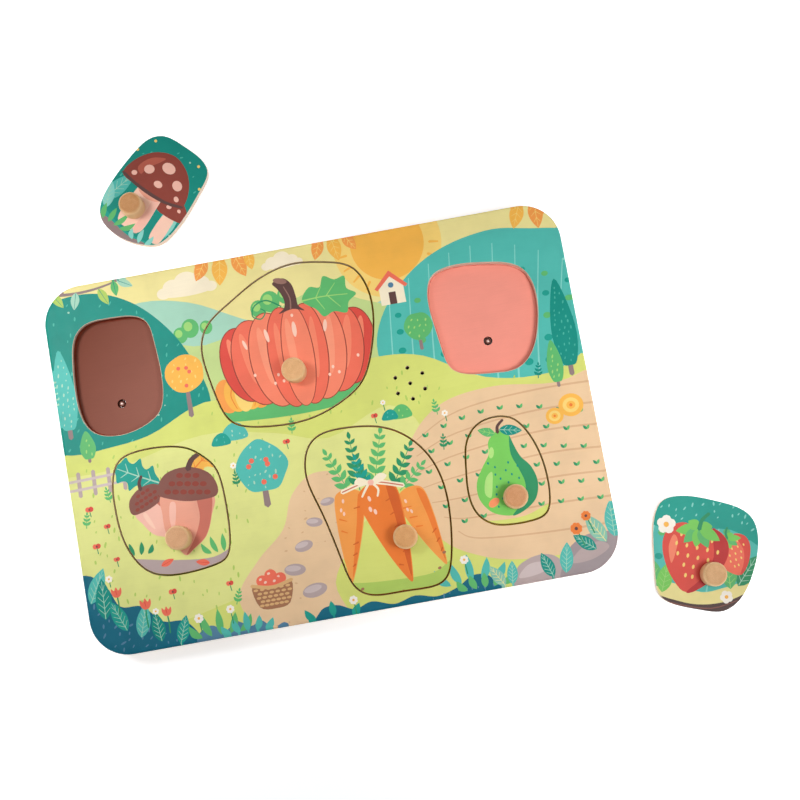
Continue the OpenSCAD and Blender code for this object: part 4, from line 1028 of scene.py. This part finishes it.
def timber(name, along, tone_a=(226, 196, 156), tone_b=(206, 168, 124), fleck=(170, 122, 84), scale=1.0, rough_at=0.5, end_grain_and_top_shade=0.0, bump=0.06, at=(0, 0, 0), gloss=0.42, side=None):
    """Solid wood with fibres along one axis: streaks on the long sides, pores where it is cut across."""
    g = Graph(name)
    s = {"X": (0.045, 1.0, 1.0), "Y": (1.0, 0.045, 1.0), "Z": (1.0, 1.0, 0.045)}[along]
    sc = tuple(v * scale for v in s)
    fine = g.noise(g.stretch(sc[0] * 2.6, sc[1] * 2.6, sc[2] * 2.6, at), 1.0, 4, 0.6)
    broad = g.noise(g.stretch(sc[0] * 0.35, sc[1] * 0.35, sc[2] * 0.35, at), 1.0, 3, 0.5, 0.5)
    tone = g.mix(g.ramp(broad, [(0.34, 0.0), (0.64, 1.0)]), lin(tone_a), lin(tone_b))
    tone = g.mix(g.ramp(fine, [(0.40, 0.55), (0.60, 0.0)]), tone, lin(tuple(v * 0.86 for v in tone_b)))
    spots = g.cells(g.stretch(sc[0] * 3.2, sc[1] * 3.2, sc[2] * 3.2, at), 1.0)
    ray = g.ramp(spots, [(0.10, 1.0), (0.20, 0.0)])
    tone = g.mix(g.math("MULTIPLY", ray, 0.45), tone, lin(fleck))
    # End faces darker: end grain, and painted shade on the peg tops beside their lit rounding.
    if end_grain_and_top_shade:
        up = g.math("ABSOLUTE", g.up())
        tone = g.mix(g.math("MULTIPLY", g.ramp(up, [(0.55, 0.0), (0.95, 1.0)]), end_grain_and_top_shade), tone, lin(tuple(v * 0.72 for v in tone_b)))
    # Faces turned sideways are mixed towards a paler tone: painted highlight on the rounding and sides.
    if side:
        tone = g.mix(g.ramp(g.math("ABSOLUTE", g.up()), [(0.45, 0.8), (0.95, 0.0)]), tone, lin(side))
    rough = g.math("ADD", rough_at, g.math("MULTIPLY", fine, 0.16))
    return g.done(tone, rough, g.bump(g.math("ADD", fine, g.math("MULTIPLY", ray, -0.4)), 0.45, bump), Specular_IOR_Level=gloss, Coat_Weight=0.03, Coat_Roughness=0.35)


def floor_paint(name):
    """The panel under the recesses: matt paint in each, bare wood on its outer edges."""
    g = Graph(name)
    x, y, z = g.xyz()
    left = g.math("MULTIPLY", g.math("LESS_THAN", x, -76.0), g.math("GREATER_THAN", y, 10.5))
    right = g.math("MULTIPLY", g.math("GREATER_THAN", x, 58.0), g.math("GREATER_THAN", y, 3.0))
    middle = g.math("MULTIPLY", g.math("MULTIPLY", g.math("GREATER_THAN", x, -76.0), g.math("LESS_THAN", x, 58.0)), g.math("GREATER_THAN", y, 0.5))
    low_left = g.math("MULTIPLY", g.math("LESS_THAN", x, -40.0), g.math("LESS_THAN", y, 10.5))
    low_right = g.math("MULTIPLY", g.math("GREATER_THAN", x, 64.0), g.math("LESS_THAN", y, 3.0))
    # The brown recess floor is darker towards its upper left, where the walls' shade falls: painted shade.
    painted_shade_slope = g.math("ADD", g.math("MULTIPLY", g.math("ADD", x, 111.0), 0.011), g.math("MULTIPLY", g.math("SUBTRACT", 49.0, y), 0.008))
    brown = g.mix(g.math("ADD", 0.5, painted_shade_slope, clamp=True), lin((116, 60, 44)), lin((153, 98, 84)))
    tone = g.mix(left, lin((168, 92, 58)), brown)
    tone = g.mix(right, tone, lin((242, 151, 134)))
    tone = g.mix(middle, tone, lin((188, 128, 52)))
    tone = g.mix(low_left, tone, lin((96, 122, 66)))
    tone = g.mix(low_right, tone, lin((178, 142, 58)))
    cloud = g.noise(g.mm, 0.06, 3, 0.55)
    tone = g.mix(0.5, tone, g.ramp(cloud, [(0.3, 0.90), (0.7, 1.0)]), "MULTIPLY")
    grain = g.noise(g.stretch(0.06, 2.0, 2.0), 1.0, 4, 0.6)
    tone = g.mix(0.35, tone, g.ramp(grain, [(0.3, 0.90), (0.6, 1.0)]), "MULTIPLY")
    tone = g.mix(0.6, tone, g.ramp(g.noise(g.mm, 4.0, 1, 0.5), [(0.30, 0.93), (0.55, 1.0)]), "MULTIPLY")
    top = g.math("GREATER_THAN", z, 16.44)
    bare = g.mix(g.ramp(g.noise(g.stretch(0.05, 0.05, 1.6), 1.0, 4, 0.6), [(0.35, 0.0), (0.65, 1.0)]), lin((206, 172, 130)), lin((190, 152, 110)))
    bare = g.mix(0.5, bare, g.ramp(g.noise(g.mm, 3.0, 3, 0.6), [(0.3, 0.84), (0.6, 1.0)]), "MULTIPLY")
    # Inside the board's outer edge, all but the top face, such as the walls of the sensor and speaker holes, is dark
    # brown: painted shade in the holes.
    rim = g.math("ADD", g.math("GREATER_THAN", g.math("ABSOLUTE", x), 140.0), g.math("GREATER_THAN", g.math("ABSOLUTE", y), 100.0), clamp=True)
    bare = g.mix(rim, g.mix(g.noise(g.mm, 2.0, 3, 0.6), lin((128, 70, 54)), lin((150, 90, 70))), bare)
    tone = g.mix(top, bare, tone)
    rough = g.math("ADD", 0.56, g.math("MULTIPLY", g.noise(g.mm, 1.2, 3, 0.6), 0.14))
    return g.done(tone, rough, g.bump(g.math("ADD", grain, g.noise(g.mm, 2.4, 2, 0.5)), 0.35, 0.04), Specular_IOR_Level=0.12)


def plastic(name, c, rough_at=0.42, grain=3.0, depth=0.02, strength=0.35, vary=0.06, **plain):
    """Moulded plastic with a fine spark-eroded texture."""
    g = Graph(name)
    tone = g.mix(g.noise(g.mm, 0.12, 3, 0.5), lin(tuple(v * (1 - vary) for v in c)), lin(tuple(min(255, v * (1 + vary) + 3) for v in c)))
    tone = g.mix(0.3, tone, g.ramp(g.noise(g.mm, grain * 1.4, 2, 0.5), [(0.3, 0.86), (0.6, 1.0)]), "MULTIPLY")
    rough = g.math("ADD", rough_at, g.math("MULTIPLY", g.noise(g.mm, 0.8, 3, 0.6), 0.12))
    return g.done(tone, rough, g.bump(g.noise(g.mm, grain, 3, 0.6), strength, depth), **plain)


def metal(name, c, rough_at=0.28, brushed=(0.2, 4.0, 4.0), dull=0.10, metallic=1.0):
    g = Graph(name)
    streak = g.noise(g.stretch(*brushed), 1.0, 3, 0.6)
    tone = g.mix(streak, lin(tuple(v * (1 - dull) for v in c)), lin(c))
    stain = g.ramp(g.noise(g.mm, 0.35, 3, 0.6), [(0.50, 0.0), (0.75, 0.6)])
    tone = g.mix(stain, tone, lin(tuple(v * 0.88 for v in c)))
    rough = g.math("ADD", rough_at, g.math("MULTIPLY", g.noise(g.mm, 1.0, 3, 0.6), 0.2))
    return g.done(tone, rough, g.bump(streak, 0.2, 0.01), Metallic=metallic)


def board_lacquer(name):
    """Circuit board: green lacquer, faint copper runs under it and tinned pads."""
    g = Graph(name)
    runs = g.ramp(g.wave(g.stretch(1, 1, 1), 0.28, 9.0, 1.0, 0.12, "BANDS", "X"), [(0.42, 0.0), (0.47, 1.0), (0.53, 1.0), (0.58, 0.0)])
    tone = g.mix(g.noise(g.mm, 0.15, 2, 0.5), lin((18, 84, 54)), lin((26, 100, 64)))
    tone = g.mix(g.math("MULTIPLY", runs, 0.5), tone, lin((60, 142, 86)))
    pads = g.ramp(g.cells(g.mm, 0.22, "F1", 0.35), [(0.10, 1.0), (0.13, 0.0)])
    tone = g.mix(pads, tone, lin((206, 204, 196)))
    rough = g.math("ADD", 0.26, g.math("MULTIPLY", g.noise(g.mm, 1.0, 2, 0.5), 0.14))
    return g.done(tone, rough, g.bump(g.math("ADD", runs, pads), 0.4, 0.04), Coat_Weight=0.3, Coat_Roughness=0.2)


def cell_wrap(name):
    """Plain wrapped dry cell: dark green sleeve with a pale band, bare metal at its two ends."""
    g = Graph(name)
    x = g.xyz()[0]
    band = g.math("GREATER_THAN", x, -30.0)
    tone = g.mix(band, lin((46, 110, 96)), lin((196, 172, 96)))
    ends = g.math("ADD", g.math("LESS_THAN", x, -62.2), g.math("GREATER_THAN", x, -18.2), clamp=True)
    tone = g.mix(ends, tone, lin((176, 176, 178)))
    tone = g.mix(0.4, tone, g.ramp(g.noise(g.stretch(0.2, 1.5, 1.5), 1.0, 3, 0.6), [(0.3, 0.88), (0.6, 1.0)]), "MULTIPLY")
    rough = g.math("ADD", 0.25, g.math("MULTIPLY", g.noise(g.mm, 0.7, 3, 0.6), 0.15))
    return g.done(tone, rough, g.bump(g.noise(g.stretch(0.3, 1, 1), 1.0, 2, 0.5), 0.2, 0.02), Coat_Weight=0.3, Coat_Roughness=0.2)


def foam(name):
    g = Graph(name)
    holes = g.cells(g.mm, 1.6)
    tone = g.ramp(holes, [(0.15, lin((14, 14, 15))), (0.55, lin((40, 40, 42)))])
    return g.done(tone, g.ramp(holes, [(0.2, 0.9), (0.6, 0.78)]), g.bump(holes, 0.8, 0.2))


def cone_paper(name):
    g = Graph(name)
    fibre = g.noise(g.mm, 1.8, 5, 0.7)
    tone = g.mix(g.ramp(fibre, [(0.35, 0.0), (0.65, 1.0)]), lin((24, 24, 26)), lin((48, 47, 48)))
    return g.done(tone, g.math("ADD", 0.66, g.math("MULTIPLY", fibre, 0.2)), g.bump(fibre, 0.5, 0.05))


def lens(name):
    """Clear moulded sensor seen through its small window."""
    g = Graph(name)
    swirl = g.noise(g.mm, 0.9, 3, 0.6)
    edge = g.mix(g.ramp(swirl, [(0.35, 0.0), (0.65, 1.0)]), lin((104, 62, 52)), lin((132, 84, 72)))
    # The dome's top is painted pale as a painted highlight and its sloping sides dark as painted shade.
    tone = g.mix(g.ramp(g.up(), [(0.84, 0.0), (0.98, 1.0)]), edge, lin((222, 186, 174)))
    return g.done(tone, g.math("ADD", 0.22, g.math("MULTIPLY", swirl, 0.12)), g.bump(swirl, 0.2, 0.03), Metallic=0.0, IOR=1.5, Coat_Weight=0.4, Coat_Roughness=0.22)


# ---------------------------------------------------------------- CAD nodes take their materials
seated = ("pumpkin", "acorn", "carrot", "pear")
names = seated + ("mushroom", "strawberry")
steel = metal("zinc_steel", (206, 206, 210))
nickel = metal("nickel", (214, 210, 200), 0.22, (2.0, 2.0, 2.0))
black = plastic("black_plastic", (34, 34, 37), 0.5, 2.2)
BEECH = {"pumpkin": (242, 190, 136), "acorn": (234, 182, 138), "carrot": (235, 177, 119), "pear": (222, 163, 116), "mushroom": (216, 160, 108), "strawberry": (234, 186, 136)}
give = {
    "top_panel": plywood("top_panel_ply", 16.5, 5.5, 5, (250, 236, 222), (240, 218, 200)),
    "recess_floor": floor_paint("recess_paint"),
    "rail_back": timber("rail_wood_x", "X", (232, 204, 166), (218, 184, 142)),
    "rail_left": timber("rail_wood_y", "Y", (232, 204, 166), (218, 184, 142)),
    "rib_left": timber("rib_wood", "Y", (206, 170, 128), (184, 144, 104), rough_at=0.62),
    "bottom_panel": plywood("bottom_ply", 0.0, 3.0, 3, (236, 210, 172), (206, 168, 128)),
    "panel_screws": steel, "battery_box": black, "battery_box_screws": steel,
    "battery_door": plastic("door_plastic", (40, 40, 43), 0.52, 2.6, 0.03, 0.5),
    "battery_door_screw": steel, "battery_1": cell_wrap("cell_sleeve"), "contact_plates": nickel, "contact_springs": nickel,
    "circuit_board": board_lacquer("board_lacquer"), "board_spacers": plastic("white_plastic", (230, 227, 214), 0.38),
    "board_screws": steel, "sound_chip": plastic("potting_resin", (16, 16, 18), 0.16, 0.8, 0.05, 0.3),
    "capacitor": plastic("sleeve_blue", (34, 48, 108), 0.3, 1.5), "sensor_cables": plastic("jacket_red", (176, 44, 38), 0.36, 1.5),
    "speaker_cable": plastic("jacket_yellow", (208, 172, 44), 0.36, 1.5), "power_cables": plastic("jacket_black", (28, 28, 30), 0.36, 1.5),
    "light_sensors": lens("sensor_lens"), "speaker_gasket": foam("gasket_foam"),
    "speaker_frame": metal("pressed_sheet", (74, 74, 80), 0.38, (3.0, 3.0, 3.0), 0.12, 0.8),
    "speaker_magnet": metal("magnet_plate", (158, 158, 164), 0.34, (2.0, 2.0, 2.0), 0.12, 0.9),
    "speaker_cone": cone_paper("cone_paper"), "switch_body": metal("switch_shell", (200, 200, 204), 0.26, (4.0, 0.3, 4.0)),
    "switch_slider": plastic("slider_plastic", (22, 22, 24), 0.45, 2.4),
}
for twin, of_ in (("rail_front", "rail_back"), ("rail_right", "rail_left"), ("rib_right", "rib_left"), ("battery_2", "battery_1"), ("cable_connectors", "board_spacers")):
    give[twin] = give[of_]
for i, name in enumerate(names):
    z0 = 16.5 if name in seated else 0.0
    px, py = PEG[name]
    give[name + "_plate"] = plywood(name + "_ply", z0, 5.5, 5, (250, 234, 218), (238, 214, 194))
    a, b, c = BEECH[name]
    # Each peg: (255, 218, 170) paints its sides paler as a painted highlight, and 0.12 darkens its end faces for end
    # grain and painted shade on the top.
    give[name + "_peg"] = timber(name + "_beech", "Z", (a, b, c), (a - 10, b - 13, c - 14), (a - 60, b - 66, c - 56), 1.0, 0.46, 0.12, 0.04, (3.1 * i, 1.7 * i, 0), 0.15, (255, 218, 170))
    give[name + "_screw"] = steel
for node, ob in nodes.items():
    ob.data.materials.clear()
    ob.data.materials.append(give[node])

# ---------------------------------------------------------------- the print on the board and on each piece
pictures = paint()
shapes = {k: spline(p) for k, p in OUTLINE.items()}
# Around the four seated pieces a thin ring of dark ink is painted shade deepening the kerf; around the two empty
# recesses the ring is pale.
edges_cut = [(inset(shapes[k], -0.2 if k in seated else -0.25), "scorch" if k in seated else "cut_pale") for k in OUTLINE]
board = print_layer("board_print", pictures["back"] + edges_cut, rounded(FLAT_W, FLAT_H, FLAT_R), [shapes[k] for k in OUTLINE] + [ring(x, y, 1.12) for x, y in GRILLE], 22.0, True)
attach(board, "board")
for name in names:
    low = name not in seated
    ob = print_layer(name + "_print", pictures["back"] + pictures[name], inset(shapes[name], GAP), [ring(*PEG[name], 6.35, 32)], 5.5 if low else 22.0, False, LOOSE.get(name),
                     None if low else inset(shapes[name], GAP + 0.2))
    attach(ob, name + "_piece")

# ---------------------------------------------------------------- painted shade along the foot of the two empty recesses
def painted_shade_ridge(name, loop, width, material, up=0.0):
    """Low closed ridge in the corner between the panel and the wall, uneven in width, with a thin coat up the wall; its
    dark colour is painted shade where the wall shades the floor.
    """
    rng = random.Random(len(name))
    n = len(loop)
    waver = [rng.uniform(-1, 1) for _ in range(n)]
    waver = [sum(waver[(i + k) % n] for k in range(-4, 5)) / 9 for i in range(n)]
    rows = []
    coat = ((0.0, up), (0.06, up - 0.06), (0.1, 0.4)) if up else ((0.0, 0.16),)
    for share, height in ((0.0, 0.0),) + coat + ((0.3, 0.11), (0.65, 0.045), (1.0, 0.0)):
        ring_in = [inset(loop, 0.02 + share * width * (1 + 0.7 * waver[i]))[i] for i in range(n)]
        rows.append([(ring_in[i], 16.502 + height * (1 + (0.25 * waver[i] if height > 1 else 0))) for i in range(n)])
    verts = [(p[0] / 1000, p[1] / 1000, h / 1000) for row in rows for p, h in row]
    k = len(rows)
    quads = [(r * n + i, ((r + 1) % k) * n + i, ((r + 1) % k) * n + (i + 1) % n, r * n + (i + 1) % n) for r in range(k) for i in range(n)]
    mesh = bpy.data.meshes.new(name)
    mesh.from_pydata(verts, [], quads)
    mesh.materials.append(material)
    mesh.polygons.foreach_set("use_smooth", [True] * len(quads))
    mesh.set_sharp_from_angle(angle=math.radians(40))
    ob = bpy.data.objects.new(name, mesh)
    bpy.context.scene.collection.objects.link(ob)
    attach(ob, "board")


# Two close dark tones of the recess paint, used as painted shade at the foot of the walls.
def painted_shade_ridge_paint(name, a, b):
    g = Graph(name)
    tone = g.mix(g.ramp(g.noise(g.mm, 0.25, 3, 0.6), [(0.38, 0.0), (0.62, 1.0)]), lin(a), lin(b))
    tone = g.mix(0.4, tone, g.ramp(g.noise(g.mm, 3.0, 2, 0.5), [(0.3, 0.88), (0.6, 1.0)]), "MULTIPLY")
    rough = g.math("ADD", 0.5, g.math("MULTIPLY", g.noise(g.mm, 1.5, 2, 0.5), 0.15))
    return g.done(tone, rough, g.bump(g.noise(g.mm, 1.6, 3, 0.6), 0.3, 0.03), Specular_IOR_Level=0.15)


# A dark brown ridge with a dark coat 2.9 mm up the wall, and a dark coral ridge: both are painted shade at the foot of
# the recess walls.
painted_shade_ridge("mushroom_recess_bead", shapes["mushroom"], 0.85, painted_shade_ridge_paint("brown_painted_shade", (124, 50, 28), (136, 59, 36)), 2.9)
painted_shade_ridge("strawberry_recess_bead", shapes["strawberry"], 0.6, painted_shade_ridge_paint("coral_painted_shade", (214, 116, 100), (222, 126, 110)))

# ---------------------------------------------------------------- floor, light and camera
floor_mesh = bpy.data.meshes.new("floor")
n = 24
floor_mesh.from_pydata([(-6 + 12 * i / n, -6 + 12 * j / n, -0.0002) for j in range(n + 1) for i in range(n + 1)], [],
                       [(j * (n + 1) + i, j * (n + 1) + i + 1, (j + 1) * (n + 1) + i + 1, (j + 1) * (n + 1) + i) for j in range(n) for i in range(n)])
floor = bpy.data.objects.new("floor", floor_mesh)
bpy.context.scene.collection.objects.link(floor)
g = Graph("floor_card")
x, y, z = g.xyz()
y = g.math("ADD", y, 30.0)
away = g.math("SQRT", g.math("ADD", g.math("MULTIPLY", x, x), g.math("MULTIPLY", y, y)))
glow = g.ramp(g.math("DIVIDE", away, 1000.0), [(0.115, 0.33), (0.165, 0.45), (0.30, 0.62)])
g.link(glow, g.bsdf.inputs["Emission Strength"])
floor_mesh.materials.append(g.done(g.mix(g.noise(g.mm, 0.01, 2, 0.5), lin((247, 250, 254)), lin((250, 252, 255))), 0.8, g.bump(g.noise(g.mm, 1.5, 2, 0.5), 0.1, 0.02), Specular_IOR_Level=0.2, Emission_Color=(1, 1, 1, 1)))

scene = bpy.context.scene
world = bpy.data.worlds.new("studio")
world.use_nodes = True
world.node_tree.nodes["Background"].inputs[0].default_value = (1.0, 1.0, 1.0, 1)
world.node_tree.nodes["Background"].inputs[1].default_value = 0.27
scene.world = world


def softbox(name, at, aim, size, power, spread=180.0):
    data = bpy.data.lights.new(name, "AREA")
    data.shape = "RECTANGLE"
    data.size, data.size_y = size
    data.energy = power
    data.spread = math.radians(spread)
    ob = bpy.data.objects.new(name, data)
    ob.location = at
    ob.rotation_euler = (Vector(aim) - Vector(at)).to_track_quat("-Z", "Y").to_euler()
    scene.collection.objects.link(ob)


softbox("box_left", (-0.31, 0.16, 0.56), (-0.15, 0.045, 0), (0.18, 0.18), 0.21, 48)
softbox("box_right", (0.30, -0.15, 0.56), (0.14, -0.005, 0), (0.18, 0.18), 0.22, 52)
softbox("box_top", (0.0, 0.05, 1.9), (0, 0, 0), (1.6, 1.2), 5.8)

turn = [math.radians(a) for a in (-6.54, 0.62, -10.24)]
R = Matrix.Rotation(turn[2], 3, "Z") @ Matrix.Rotation(turn[1], 3, "Y") @ Matrix.Rotation(turn[0], 3, "X")
S = Matrix(((1, 0, 0), (0, -1, 0), (0, 0, -1)))
t = Vector((-40.7, 15.1, 783.2))
axes = S @ R.transposed()
pose = Matrix((axes.col[0], -axes.col[1], -axes.col[2])).transposed().to_4x4()
pose.translation = (S @ (-(R.transposed() @ t)) + Vector((0, 0, 22))) / 1000
lens_data = bpy.data.cameras.new("camera")
lens_data.sensor_fit = "HORIZONTAL"
lens_data.sensor_width = 36
lens_data.lens = 63
lens_data.clip_start, lens_data.clip_end = 0.01, 30
camera = bpy.data.objects.new("camera", lens_data)
camera.matrix_world = pose
scene.collection.objects.link(camera)
scene.camera = camera
scene.view_settings.view_transform = "Standard"
scene.view_settings.look = "None"
scene.view_settings.exposure = 0.0
scene.view_settings.gamma = 1.0
